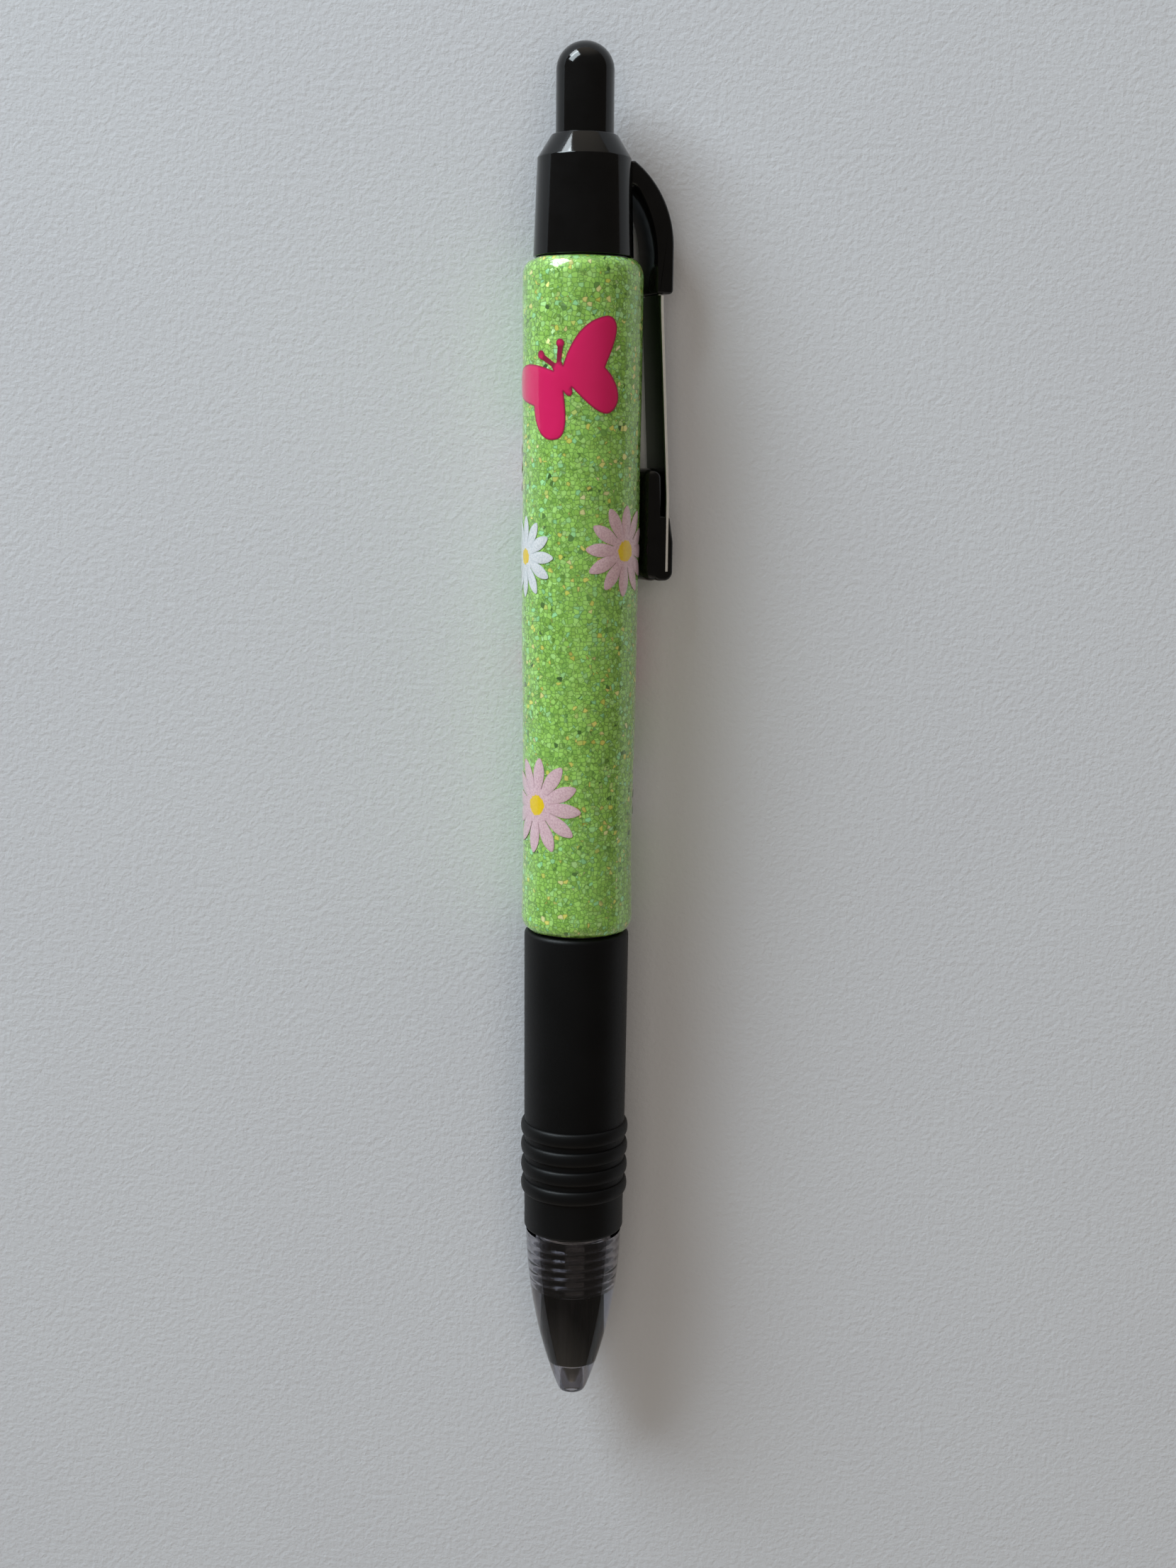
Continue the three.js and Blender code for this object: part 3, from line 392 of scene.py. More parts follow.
def daisy_film(name, petal, shaded, centre):
    look = Look(name, Roughness=0.4, Coat_Weight=1.0, Coat_Roughness=0.03)
    dust = look.noise(5200, 2, 0.7)
    petals = look.mix(look.rise(dust.outputs[0], 0.42, 0.62), petal, shaded)
    edge = look.attribute("edge")
    petals = look.mix(look.rise(edge, 0.0, 0.16), shaded, petals)
    wobble = look.math("MULTIPLY_ADD", look.noise(2600, 2).outputs[0], 0.5, -0.25)
    reach = look.math("ADD", look.attribute("reach"), wobble)
    eye = look.mix(look.noise(3600, 2).outputs[0], srgb(255, 228, 10), srgb(240, 190, 25))
    share = look.math("DIVIDE", reach, centre)
    colour = look.mix(look.rise(share, 0.94, 1.0), eye, petals)
    look.set(look.shader, {"Base Color": colour, "Coat Normal": look.resin_swell()})
    return look.material


def black_plastic(name, specular, dull):
    look = Look(name, IOR=1.5, Specular_IOR_Level=specular)
    smudge = look.noise(260, 5, 0.65)
    grain = look.noise(9000, 2)
    look.set(look.shader, {
        "Base Color": look.ramp(smudge.outputs[0],
                                [(0.35, (0.003, 0.003, 0.0032)), (0.75, (0.006, 0.006, 0.0065))]),
        "Roughness": look.scaled(smudge.outputs[0], dull, dull + 0.1),
        "Normal": look.bump(grain.outputs[0], 0.08, 0.00002)})
    return look.material


def rubber():
    look = Look("black_rubber", Specular_IOR_Level=0.22)
    grain = look.noise(7000, 3, 0.6)
    broad = look.noise(140, 3)
    look.set(look.shader, {
        "Base Color": look.ramp(broad.outputs[0],
                                [(0.3, (0.0016, 0.0016, 0.0018)), (0.7, (0.0032, 0.0032, 0.0036))]),
        "Roughness": look.scaled(grain.outputs[0], 0.38, 0.6),
        "Normal": look.bump(grain.outputs[0], 0.35, 0.00003)})
    return look.material


def clear_plastic(name, tint, haze):
    look = Look(name, Transmission_Weight=1.0, IOR=1.49)
    broad = look.noise(220, 3)
    look.set(look.shader, {
        "Base Color": look.mix(broad.outputs[0], tint, tuple(0.96 * c for c in tint)),
        "Roughness": look.scaled(look.noise(500, 4).outputs[0], 0.0, haze)})
    return look.material


def bore_painted_shade():
    """Painted shade for the cone's bore: a dark, barely clear film that stands in for the darkness seen in the
    bore, so that what is inside only just shows through it.
    """
    look = Look("bore_painted_shade", Transmission_Weight=0.22, IOR=1.02, Specular_IOR_Level=0.0)
    streak = look.noise(900, 3, vector=look.vector("MULTIPLY", look.where(), (1, 0.08, 1)))
    look.set(look.shader, {
        "Base Color": look.ramp(streak.outputs[0],
                                [(0.42, (0.004, 0.0036, 0.006)), (0.6, (0.03, 0.025, 0.025))]),
        "Roughness": look.scaled(streak.outputs[0], 0.1, 0.3)})
    return look.material


def painted_edge_highlight():
    """The leaf's narrow sides: rough as sheared steel is, and painted near-white and barely metallic as a highlight
    line.
    """
    look = Look("leaf_edge_painted_highlight", Metallic=0.15)
    grain = look.noise(2500, 2)
    look.set(look.shader, {"Base Color": look.mix(grain.outputs[0], (0.95, 0.94, 0.92), (0.8, 0.79, 0.78)),
                           "Roughness": look.scaled(grain.outputs[0], 0.4, 0.6)})
    return look.material


def metal(name, colour, low, high, stretch=(1, 1, 1)):
    look = Look(name, Metallic=1.0)
    spot = look.vector("MULTIPLY", look.where(), stretch)
    lines = look.noise(1500, 4, 0.6, vector=spot)
    look.set(look.shader, {
        "Base Color": look.mix(lines.outputs[0], colour, tuple(0.85 * c for c in colour)),
        "Roughness": look.scaled(lines.outputs[0], low, high),
        "Normal": look.bump(lines.outputs[0], 0.1, 0.00001)})
    return look.material


def moulded(name, colour, roughness=0.4):
    look = Look(name)
    grain = look.noise(3000, 3)
    look.set(look.shader, {
        "Base Color": look.mix(grain.outputs[0], colour, tuple(0.9 * c for c in colour)),
        "Roughness": look.scaled(grain.outputs[0], roughness - 0.06, roughness + 0.08),
        "Normal": look.bump(grain.outputs[0], 0.15, 0.00002)})
    return look.material


GLITTER = glitter()
PINK = pink_film()
WHITE_DAISY = daisy_film("white_daisy_film", srgb(240, 242, 246), srgb(214, 220, 226), 0.85)
BLUSH_DAISY = daisy_film("blush_daisy_film", srgb(236, 204, 212), srgb(216, 178, 190), 1.12)
BLACK = black_plastic("black_plastic", 0.36, 0.04)
THREAD_BLACK = black_plastic("thread_plastic", 1.0, 0.2)
RUBBER = rubber()
SMOKE = clear_plastic("smoke_plastic", (0.38, 0.37, 0.41), 0.06)
# Painted shade for the nose cone's bore wall.
BORE_PAINTED_SHADE = bore_painted_shade()
CLEAR = clear_plastic("tube_plastic", (0.92, 0.94, 0.95), 0.1)
LEAF_STEEL = metal("leaf_steel", (0.6, 0.61, 0.6), 0.06, 0.18, (1, 0.08, 1))
SPRING_STEEL = metal("spring_steel", (0.68, 0.69, 0.7), 0.15, 0.3)
# Painted shade and reflection: a darker, greenish copy of the leaf steel for the leaf's inner face.
LEAF_INNER_PAINTED_SHADE = metal("leaf_inner_face_painted_shade", (0.16, 0.18, 0.16), 0.12, 0.25, (1, 0.08, 1))
# Painted highlight for the leaf's narrow sides.
LEAF_EDGE_PAINTED_HIGHLIGHT = painted_edge_highlight()
POINT_STEEL = metal("point_steel", (0.38, 0.36, 0.33), 0.15, 0.3, (1, 0.1, 1))
CARBIDE = metal("ball_carbide", (0.32, 0.33, 0.34), 0.1, 0.2)
WHITE = moulded("white_moulded", (0.72, 0.72, 0.69))
GREY = moulded("grey_moulded", (0.12, 0.12, 0.13))
INK = moulded("gel_ink", (0.012, 0.012, 0.02), 0.2)
GREASE = moulded("follower_grease", (0.6, 0.55, 0.36), 0.3)

# ------------------------------------------------------------------ nose, barrel, grip, sleeve

THREAD_FADE, THREAD_FLANK = 0.4, 2.4  # mm that each end runs out over, and how steep the flanks are
INSET = 0.01  # keeps curved outsides just within the CAD piece's box


def thread(angle, along, start, stop):
    """How far up its crest a right-handed screw thread is at a point, from 0 to 1."""
    if not start < along < stop:
        return 0.0
    turn = (along / THREAD_PITCH - angle / (2 * math.pi)) % 1
    fade = min((along - start) / THREAD_FADE, (stop - along) / THREAD_FADE, 1)
    return fade * max(0.0, 1 - THREAD_FLANK * abs(turn - 0.5))


def nose_profile():
    """One arc outside, level at NOSE_TANGENT. Inside, from the rear: the socket, the bore and the hole."""
    drop = NOSE_CROWN - NOSE_FACE
    bend = (NOSE_TANGENT ** 2 + drop ** 2) / (2 * drop)
    steps, rim = 40, 0.12
    outer = []
    for i in range(steps + 1):
        along = NOSE_REAR * i / steps
        below = bend - math.sqrt(bend ** 2 - (NOSE_TANGENT - along) ** 2)
        outer.append((NOSE_CROWN - below - INSET, along))
    outer[0] = (NOSE_FACE - rim, 0.0)
    outer.insert(1, (NOSE_FACE - rim / 4, rim / 2))
    floor_at, lead, rows = BARREL_FRONT - 0.15, 0.3, 70
    inner = [(SOCKET, NOSE_REAR - (NOSE_REAR - floor_at - lead) * i / rows) for i in range(rows + 1)]
    inner += rounded([
        (SOCKET, floor_at + lead, 0), (SOCKET, floor_at, 0.25), (NOSE_BORE, floor_at, 0.15),
        (NOSE_BORE, NOSE_SHOULDER, 0.35), (NOSE_HOLE, NOSE_SHOULDER, 0.15), (NOSE_HOLE, 0.0, 0)], 3)[1:]
    return outer + inner


def nose_shift(angle, radius, along):
    """The socket's screw thread."""
    if abs(radius - SOCKET) > 0.01:
        return radius, along
    return radius + SOCKET_THREAD * thread(angle, along, BARREL_FRONT + 0.2, NOSE_REAR - 0.3), along


nose = finish_piece("nose_shell", lathe("nose_shell", nose_profile(), 128, nose_shift),
                    "nose", SMOKE, ["nose_cone"], 50)
# The bore's wall gets the painted shade material.
nose.data.materials.append(BORE_PAINTED_SHADE)
for face in nose.data.polygons:
    spot = face.center
    reach = math.hypot(spot.x - AXIS_X, spot.z - AXIS_Z) / MM
    if abs(reach - NOSE_BORE) < 0.06:
        face.material_index = 1


def thread_shift(angle, radius, along):
    """The front spigot's screw thread, cut down from its crests."""
    if abs(radius - SPIGOT) > 0.01 or along > NOSE_REAR:
        return radius, along
    crest = thread(angle, along + THREAD_PITCH / 2, BARREL_FRONT + 0.1, NOSE_REAR - 0.4)
    return radius - THREAD_DEPTH * (1 - crest), along


def barrel_profile():
    chamfer, steps = 0.25, 90
    start = BARREL_FRONT + chamfer
    rows = [(GUIDE, BARREL_FRONT), (SPIGOT - chamfer, BARREL_FRONT), (SPIGOT, start)]
    for i in range(1, steps):
        rows.append((SPIGOT, start + (NOSE_REAR - start) * i / steps))
    step, seam, shoulder = NOSE_REAR + 0.15, (GRIP_REAR + SLEEVE_FRONT) / 2, HOUSING_FRONT - 0.08
    rows += [(SPIGOT, step), (GRIP_SEAT, step), (GRIP_SEAT, seam), (BARREL, seam),
             (BARREL, shoulder), (STUB, shoulder), (STUB, BARREL_REAR),
             (BARREL_BORE, BARREL_REAR), (BARREL_BORE, GUIDE_REAR + BARREL_BORE - GUIDE), (GUIDE, GUIDE_REAR)]
    return rows


finish_piece("barrel_tube", lathe("barrel_tube", barrel_profile(), 96, thread_shift),
             "pen_body", THREAD_BLACK, ["barrel"])


def grip_profile():
    def at(along):
        return GRIP_FRONT_R + (GRIP_REAR_R - GRIP_FRONT_R) * (along - GRIP_FRONT) / (GRIP_REAR - GRIP_FRONT)

    corner, rim, run, steps = 0.75, 0.1, 3, 12
    outer = rounded([(GRIP_BORE, GRIP_FRONT, rim), (GRIP_FRONT_R, GRIP_FRONT, corner),
                     (GRIP_FRONT_R, GRIP_FRONT + run, 0)], 6)
    for ring in range(RINGS):
        centre = GRIP_FRONT + RING_FIRST + ring * RING_PITCH
        for k in range(steps + 1):
            turn = math.pi * (k / steps - 0.5)
            height = RING_HEIGHT * max(0, math.cos(turn)) ** 0.8
            outer.append((at(centre) + height, centre + RING_HALF * math.sin(turn)))
    outer += rounded([(at(GRIP_REAR - run), GRIP_REAR - run, 0), (GRIP_REAR_R, GRIP_REAR, corner),
                      (GRIP_BORE, GRIP_REAR, rim)], 6)
    return outer


finish_piece("grip_rubber", lathe("grip_rubber", grip_profile(), 96),
             "pen_body", RUBBER, ["rubber_grip"], 60)


def sleeve_radius(along):
    behind, radii = zip(*SLEEVE_STATIONS)
    return float(np.interp(along - SLEEVE_FRONT, behind, radii))


def sleeve_shift(angle, radius, along):
    """Slightly uneven resin: small swells in the wall and wavy ends, never proud of the frame."""
    if radius < SLEEVE_BORE + 0.05:
        return radius, along
    swell = 0.012 * (math.sin(3 * angle + 0.21 * along) + math.sin(5 * angle - 0.33 * along) - 2)
    near_front = max(0.0, 1 - (along - SLEEVE_FRONT) / 1.6)
    near_rear = max(0.0, 1 - (SLEEVE_REAR - along) / 1.8)
    wave = 0.06 * (1.5 + math.sin(4 * angle + 1) + 0.5 * math.sin(9 * angle))
    return radius + swell, along + wave * near_front - wave * near_rear


FRONT_EDGE, REAR_EDGE = (0.85, 1.5), (1.05, 1.8)  # radial depth and length of the rounded ends


def quarter(radius, along, depth, length, steps=10):
    """A quarter ellipse from the outside, at along, round to an end face."""
    turns = [math.pi / 2 * i / steps for i in range(steps + 1)]
    return [(radius - depth * (1 - math.cos(turn)), along + length * math.sin(turn)) for turn in turns]


def sleeve_profile():
    front, rear = sleeve_radius(SLEEVE_FRONT), sleeve_radius(SLEEVE_REAR)
    front_depth, front_length = FRONT_EDGE
    rear_depth, rear_length = REAR_EDGE
    outer = [(SLEEVE_BORE, SLEEVE_FRONT)]
    outer += quarter(front, SLEEVE_FRONT + front_length, front_depth, -front_length)[::-1]
    start, stop, steps = SLEEVE_FRONT + front_length + 0.1, SLEEVE_REAR - rear_length - 0.1, 60
    for i in range(steps + 1):
        along = start + (stop - start) * i / steps
        outer.append((sleeve_radius(along), along))
    outer += quarter(rear, SLEEVE_REAR - rear_length, rear_depth, rear_length)
    return outer + [(SLEEVE_BORE, SLEEVE_REAR)]


finish_piece("sleeve_resin", lathe("sleeve_resin", sleeve_profile(), 160, sleeve_shift),
             "pen_body", GLITTER, ["glitter_sleeve"], 60)

# ------------------------------------------------------------------ sequins

PLATE_LIFT, PLATE_THICK = 0.005, 0.06
ROW_STEP = 0.866  # height of a row of near-equilateral triangles, in spacings


def plate(name, outline, around, along, lean, spacing, material, node):
    """A thin die-cut film wrapped on the sleeve. outline lists (sideways, forward) points."""
    rim = np.array(outline)
    count = len(rim)
    low, high = rim.min(0), rim.max(0)
    ends = np.roll(rim, -1, axis=0)

    def edge_distance(points):
        best = np.full(len(points), 1e9)
        for a, b in zip(rim, ends):
            d = b - a
            t = np.clip(((points - a) @ d) / (d @ d), 0, 1)
            best = np.minimum(best, np.linalg.norm(points - a - t[:, None] * d, axis=1))
        return best

    grid = []
    row = 0
    y = low[1]
    while y < high[1]:
        x = low[0] + (row % 2) * spacing / 2
        while x < high[0]:
            grid.append((x, y))
            x += spacing
        y += spacing * ROW_STEP
        row += 1
    grid = np.array(grid)
    grid = grid[edge_distance(grid) > 0.45 * spacing]
    loop = [(i, (i + 1) % count) for i in range(count)]
    every = [Vector(p) for p in rim] + [Vector(p) for p in grid]
    flat, _, faces, _, _, _ = delaunay_2d_cdt(every, loop, [list(range(count))], 1, 1e-5)
    flat = np.array([tuple(v) for v in flat])
    edge = edge_distance(flat)
    turn = math.radians(lean)

    def wrap(point, lift):
        side = point[0] * math.cos(turn) - point[1] * math.sin(turn)
        far = along + point[0] * math.sin(turn) + point[1] * math.cos(turn)
        radius = sleeve_radius(far) + PLATE_LIFT + lift
        angle = math.radians(around) + side / sleeve_radius(along)
        return place(radius * math.sin(angle), far, radius * math.cos(angle))

    size = len(flat)
    soft = PLATE_THICK * (0.45 + 0.55 * np.clip(edge / 0.08, 0, 1))
    points = [wrap(p, 0) for p in flat] + [wrap(p, lift) for p, lift in zip(flat, soft)]
    skin = [list(f)[::-1] for f in faces] + [[i + size for i in f] for f in faces]
    used = {}
    for f in faces:
        for i in range(len(f)):
            key = (f[i], f[(i + 1) % len(f)])
            used[key] = used.get(key, 0) + 1
    for a, b in used:
        if (b, a) not in used:
            skin.append([a, b, b + size, a + size])
    mesh = mesh_of(name, points, skin)
    for label, values in (("edge", edge), ("reach", np.linalg.norm(flat, axis=1))):
        data = mesh.attributes.new(label, "FLOAT", "POINT")
        data.data.foreach_set("value", np.concatenate([values, values]).astype(np.float32))
    return finish_piece(name, mesh, "pen_body", material, [node], 40)


def cubic(p0, p1, p2, p3, steps):
    points = []
    for i in range(1, steps + 1):
        t = i / steps
        w = ((1 - t) ** 3, 3 * t * (1 - t) ** 2, 3 * t * t * (1 - t), t ** 3)
        points.append(tuple(sum(w[k] * p[j] for k, p in enumerate((p0, p1, p2, p3))) for j in (0, 1)))
    return points


def knob(centre, radius, first, last, steps=10):
    turns = [math.radians(first + (last - first) * i / steps) for i in range(steps + 1)]
    return [(centre[0] + radius * math.cos(turn), centre[1] + radius * math.sin(turn)) for turn in turns]


WING_SHARE = 0.955  # narrows the whole butterfly


def butterfly_outline():
    """Head, antenna, upper wing, notch, lower wing and tail of the right half, then its mirror."""
    half = [(0.0, 1.55), (0.12, 1.62)]
    half += [(0.9, 2.9)] + knob((1.32, 3.12), 0.45, 195, -70) + [(1.3, 2.5), (0.62, 1.5)]
    half += cubic((0.62, 1.5), (0.62, 1.3), (0.62, 1.1), (0.6, 1.0), 3)
    half += cubic((0.6, 1.0), (1.8, 2.2), (4.2, 4.3), (7.0, 3.5), 14)
    half += cubic((7.0, 3.5), (7.9, 3.25), (7.85, 2.2), (7.45, 1.7), 8)
    half += cubic((7.45, 1.7), (6.9, 0.8), (5.4, -0.3), (4.6, -1.0), 8)
    half += cubic((4.6, -1.0), (5.3, -2.6), (5.4, -5.0), (3.2, -5.3), 12)
    half += cubic((3.2, -5.3), (1.9, -5.4), (1.1, -3.0), (0.5, -1.3), 10)
    half += cubic((0.5, -1.3), (0.45, -1.7), (0.3, -2.0), (0.0, -2.05), 4)
    half = [(x * WING_SHARE, y) for x, y in half]
    mirror = [(-x, y) for x, y in half[1:-1]][::-1]
    return half + mirror


def daisy_outline(reach, lean, petals=12, seed=0):
    """Lens-shaped petals of faintly uneven length, joined below the gaps between them."""
    draw = np.random.default_rng(seed)
    root = 0.36
    steps = 11
    points = []
    for petal in range(petals):
        length = 1 + 0.05 * (draw.random() - 0.5)
        turn = math.radians(lean) + 2 * math.pi * petal / petals + 0.05 * (draw.random() - 0.5)
        sides = []
        for k in range(steps + 1):
            share = math.sin(math.pi / 2 * k / steps)
            far = reach * (root + (length - root) * share)
            half = reach * (0.093 + 0.064 * math.sin(0.9 * math.pi * share)) * math.sqrt(max(0.0, 1 - share ** 3.4))
            sides.append((half, far))
        outline = [(-half, far) for half, far in sides] + sides[-2::-1]
        cos, sin = math.cos(turn), math.sin(turn)
        points += [(x * cos + y * sin, y * cos - x * sin) for x, y in outline]
    return points


def sleeve_at(share):
    return SLEEVE_FRONT + share * (SLEEVE_REAR - SLEEVE_FRONT)


for number, (around, share, lean) in enumerate(((-18.7, 0.828, 26), (168, 0.405, -24)), 1):
    plate(f"butterfly_film_{number}", butterfly_outline(), around, sleeve_at(share), lean, 0.45,
          PINK, f"butterfly_{number}")

DAISIES = (  # degrees around, share of the sleeve's length, petal length, lean, slot, material
    (-66.5, 0.57, 4.2, 0, "sequin_white", WHITE_DAISY),
    (49, 0.581, 4.7, 3, "sequin_blush", BLUSH_DAISY),
    (-46.6, 0.201, 5.2, 6, "sequin_blush", BLUSH_DAISY),
    (130, 0.201, 4.4, 10, "sequin_white", WHITE_DAISY),
    (-125, 0.7, 4.6, 0, "sequin_blush", BLUSH_DAISY),
)
for number, (around, share, reach, lean, slot, material) in enumerate(DAISIES, 1):
    plate(f"daisy_film_{number}", daisy_outline(reach, lean, seed=number), around, sleeve_at(share), 0, 0.4,
          material, f"daisy_{number}")

# ------------------------------------------------------------------ housing and clip

def arm_face(straight, bend_at, root, root_at, steps):
    """One face of the arm, from where it leaves its straight end to its root on the housing."""
    rise, length = straight - root, root_at - bend_at
    bend = (rise ** 2 + length ** 2) / (2 * rise)
    sweep = math.asin(length / bend)
    return [(straight - bend + bend * math.cos(sweep * i / steps), bend_at + bend * math.sin(sweep * i / steps))
            for i in range(steps + 1)]


def housing():
    """The shell and the clip's arm in one, with the barrel's seat and the leaf's pocket cut out."""
    outside = rounded([
        (0, HOUSING_FRONT, 0), (HOUSING_BASE - INSET, HOUSING_FRONT, 0.12),
        (HOUSING_SHOULDER - INSET, SHOULDER_AT, 0.3), (HOUSING_COLLAR, HOUSING_TOP, 0.22), (0, HOUSING_TOP, 0)], 4)
    shell = lathe("housing_shell", outside, 128)
    root_rear, root_front = SHOULDER_AT - 0.07, SHOULDER_AT - 2.47
    seat = STUB + 0.05
    outer = arm_face(ARM_OUTER, HOUSING_FRONT + 1.35, HOUSING_SHOULDER - 0.1, root_rear, 20)
    inner = arm_face(ARM_INNER, HOUSING_FRONT + 0.15, HOUSING_SHOULDER, root_front, 16)
    end = rounded([(ARM_INNER, ARM_END + 1, 0), (ARM_INNER, ARM_END, 0.3),
                   (ARM_OUTER, ARM_END, 0.45), (ARM_OUTER, ARM_END + 1, 0)], 4)
    side = [(seat, root_front)] + inner[::-1] + end + outer + [(seat, root_rear)]
    arm = slab("arm", side, ARM_HALF, 0.4, segments=4)
    past, step = 1, BARREL_REAR + 0.15  # cuts run this far past a face; the seat ends at this step
    cavity = lathe("cavity", [
        (0, HOUSING_FRONT - past), (seat, HOUSING_FRONT - past), (seat, step), (HOUSING_CAVITY, step),
        (HOUSING_CAVITY, HOUSING_ROOF), (COLLAR_HOLE, HOUSING_ROOF),
        (COLLAR_HOLE, HOUSING_TOP + past), (0, HOUSING_TOP + past)], 128)
    gap = 0.2
    low, high = LEAF_INNER - gap, LEAF_INNER + LEAF_THICK + gap
    mouth, back = ARM_END - past, TANG_END + gap
    pocket = slab("pocket", [(low, mouth), (high, mouth), (high, back), (low, back)],
                  TANG_HALF + gap, 0.02, segments=1)
    return combined("housing_and_arm", shell, [("UNION", arm), ("DIFFERENCE", cavity), ("DIFFERENCE", pocket)])


finish_piece("housing_and_arm", housing(), "pen_body", BLACK, ["rear_housing"], 30)


def strip(name, stations, corner):
    """A flat spring swept through stations, each (inner reach, along, half width)."""
    points, faces = [], []
    for reach, along, half in stations:
        flat, top = half - corner, LEAF_THICK - corner
        section = ((-half, corner), (-flat, 0), (flat, 0), (half, corner),
                   (half, top), (flat, LEAF_THICK), (-flat, LEAF_THICK), (-half, top))
        points += [clip_place(reach + v, along, u) for u, v in section]
    for k in range(len(stations) - 1):
        for i in range(8):
            j = (i + 1) % 8
            faces.append([8 * k + i, 8 * k + j, 8 * (k + 1) + j, 8 * (k + 1) + i])
    faces.append(list(range(8)))
    faces.append([8 * (len(stations) - 1) + i for i in range(8)])
    return mesh_of(name, points, faces)


def leaf_stations():
    mouth = ARM_END - 0.15
    stations = []
    slope = (LEAF_TIP_INNER - LEAF_INNER) / (mouth - 1 - LEAF_BEND)

    def reach(along):
        straight = LEAF_TIP_INNER - max(0.0, along - LEAF_BEND) * slope
        return max(LEAF_INNER, straight)

    ease = 0.6  # rounds the bend over this much to each side
    for along in np.linspace(LEAF_END, mouth, 60):
        near = (reach(along - ease) + reach(along) + reach(along + ease)) / 3
        stations.append((near, along, LEAF_HALF))
    stations.append((LEAF_INNER, mouth + 0.02, TANG_HALF))
    stations.append((LEAF_INNER, TANG_END, TANG_HALF))
    return stations


leaf = finish_piece("leaf_spring", strip("leaf_spring", leaf_stations(), 0.07),
                    "clip", LEAF_STEEL, ["clip_leaf"], 40)
leaf.data.materials.append(LEAF_INNER_PAINTED_SHADE)
leaf.data.materials.append(LEAF_EDGE_PAINTED_HIGHLIGHT)
# Faces towards the pen get the painted shade; the narrow sides get the painted highlight.
for face in leaf.data.polygons:
    if face.normal.dot(OUTWARD) < -0.5:
        face.material_index = 1
    elif abs(face.normal.dot(ACROSS)) > 0.5:
        face.material_index = 2


def tip():
    """The moulded end: a soft pad towards the sleeve, and a thin lobe over the leaf."""
    play = 0.05
    pad_inner, pad_outer = sleeve_radius(TIP_REAR) + 0.32, LEAF_TIP_INNER - play
    leaf_drop = LEAF_TIP_INNER - LEAF_INNER
    rear_outer = pad_outer - leaf_drop * max(TIP_REAR - LEAF_BEND, 0) / (ARM_END - LEAF_BEND)
    pad_half, pad_edge = 2.29, 1.0
    pad = slab("pad", rounded([
        (pad_inner, TIP_FRONT, 1.15), (pad_outer, TIP_FRONT, 1.08),
        (rear_outer, TIP_REAR, 1.08), (pad_inner, TIP_REAR, 1.13)], 8), pad_half, pad_edge, segments=7)
    lobe_inner = LEAF_TIP_INNER + LEAF_THICK + play
    lobe_outer, lobe_root = lobe_inner + 0.56, pad_inner + 1.0
    lobe_front, lobe_crown, lobe_rear = TIP_FRONT + 0.02, TIP_FRONT + 4.1, TIP_FRONT + 6.85
    lobe_half, lobe_edge = 2.27, 0.42
    lobe = slab("lobe", rounded([
        (lobe_root, lobe_front, 0.9), (lobe_outer, lobe_front, 0.95), (lobe_outer, lobe_crown, 3.0),
        (lobe_inner + 0.1, lobe_rear, 0), (lobe_root, lobe_rear + 0.05, 0)], 8), lobe_half, lobe_edge, segments=5)
    seat, past, slit_half = LEAF_END - play, TIP_REAR + 1, 3.0
    slit = slab("slit", [(pad_outer, seat), (lobe_inner, seat), (lobe_inner, past), (pad_outer, past)],
                slit_half, 0.01, segments=1)
    return combined("clip_end", pad, [("UNION", lobe), ("DIFFERENCE", slit)])


finish_piece("clip_end", tip(), "clip", BLACK, ["clip_tip"], 40)

# ------------------------------------------------------------------ push button

def button_shift(angle, radius, along):
    """Eight cam teeth around the front end of the button's skirt."""
    teeth, tooth_depth = 8, 0.8
    if along > BUTTON_FRONT + 1e-3 or radius < 0.1:
        return radius, along
    tooth = abs(((angle * teeth / (2 * math.pi)) % 1) * 2 - 1)
    return radius, along + tooth_depth * (1 - tooth)


def button_profile():
    flange_rear = HOUSING_ROOF - 0.2
    flange_front = flange_rear - 1.4
    dome, bore, steps = BUTTON_TOP - BUTTON_DOME, 1.5, 24
    rows = [(0, flange_rear + 5), (bore, flange_rear + 4), (bore, BUTTON_FRONT), (BUTTON_SKIRT, BUTTON_FRONT),
            (BUTTON_SKIRT, flange_front), (BUTTON_FLANGE, flange_front), (BUTTON_FLANGE, flange_rear),
            (BUTTON, flange_rear)]
    for i in range(steps + 1):
        turn = math.pi / 2 * i / steps
        radius = BUTTON * math.cos(turn) if i < steps else 0
        rows.append((radius, dome + BUTTON_DOME * math.sin(turn)))
    return rows


finish_piece("button_cap", lathe("button_cap", button_profile(), 96, button_shift),
             "button", BLACK, ["push_button"])

# ------------------------------------------------------------------ refill and spring

def point_profile():
    mouth, rim, body, tail, bore = 0.28, 0.36, 1.15, 0.85, 0.35
    cone_rear, tail_front = POINT_FRONT + 2.2, POINT_REAR - 3.6
    return rounded([
        (mouth, POINT_FRONT, 0), (rim, POINT_FRONT, 0.02), (body, cone_rear, 0.5), (body, tail_front, 0.1),
        (tail, tail_front, 0), (tail, POINT_REAR, 0), (bore, POINT_REAR, 0), (bore, cone_rear, 0),
        (mouth, POINT_FRONT + 0.35, 0)], 4)


finish_piece("writing_point", lathe("writing_point", point_profile(), 64),
             "refill", POINT_STEEL, ["refill_point"])


def adapter_profile():
    neck, collar, fill, bore = 1.5, 3.0, 2.55, 0.9
    step = SPRING_REAR + 0.2
    collar_rear = step + 1.8
    return rounded([
        (bore, ADAPTER_FRONT, 0), (neck, ADAPTER_FRONT, 0.15), (neck, step, 0.1), (collar, step, 0.15),
        (collar, collar_rear, 0.1), (fill, collar_rear, 0), (fill, ADAPTER_REAR, 0.2), (bore, ADAPTER_REAR, 0)], 4)


finish_piece("refill_adapter", lathe("refill_adapter", adapter_profile(), 64),
             "refill", WHITE, ["refill_nose"])

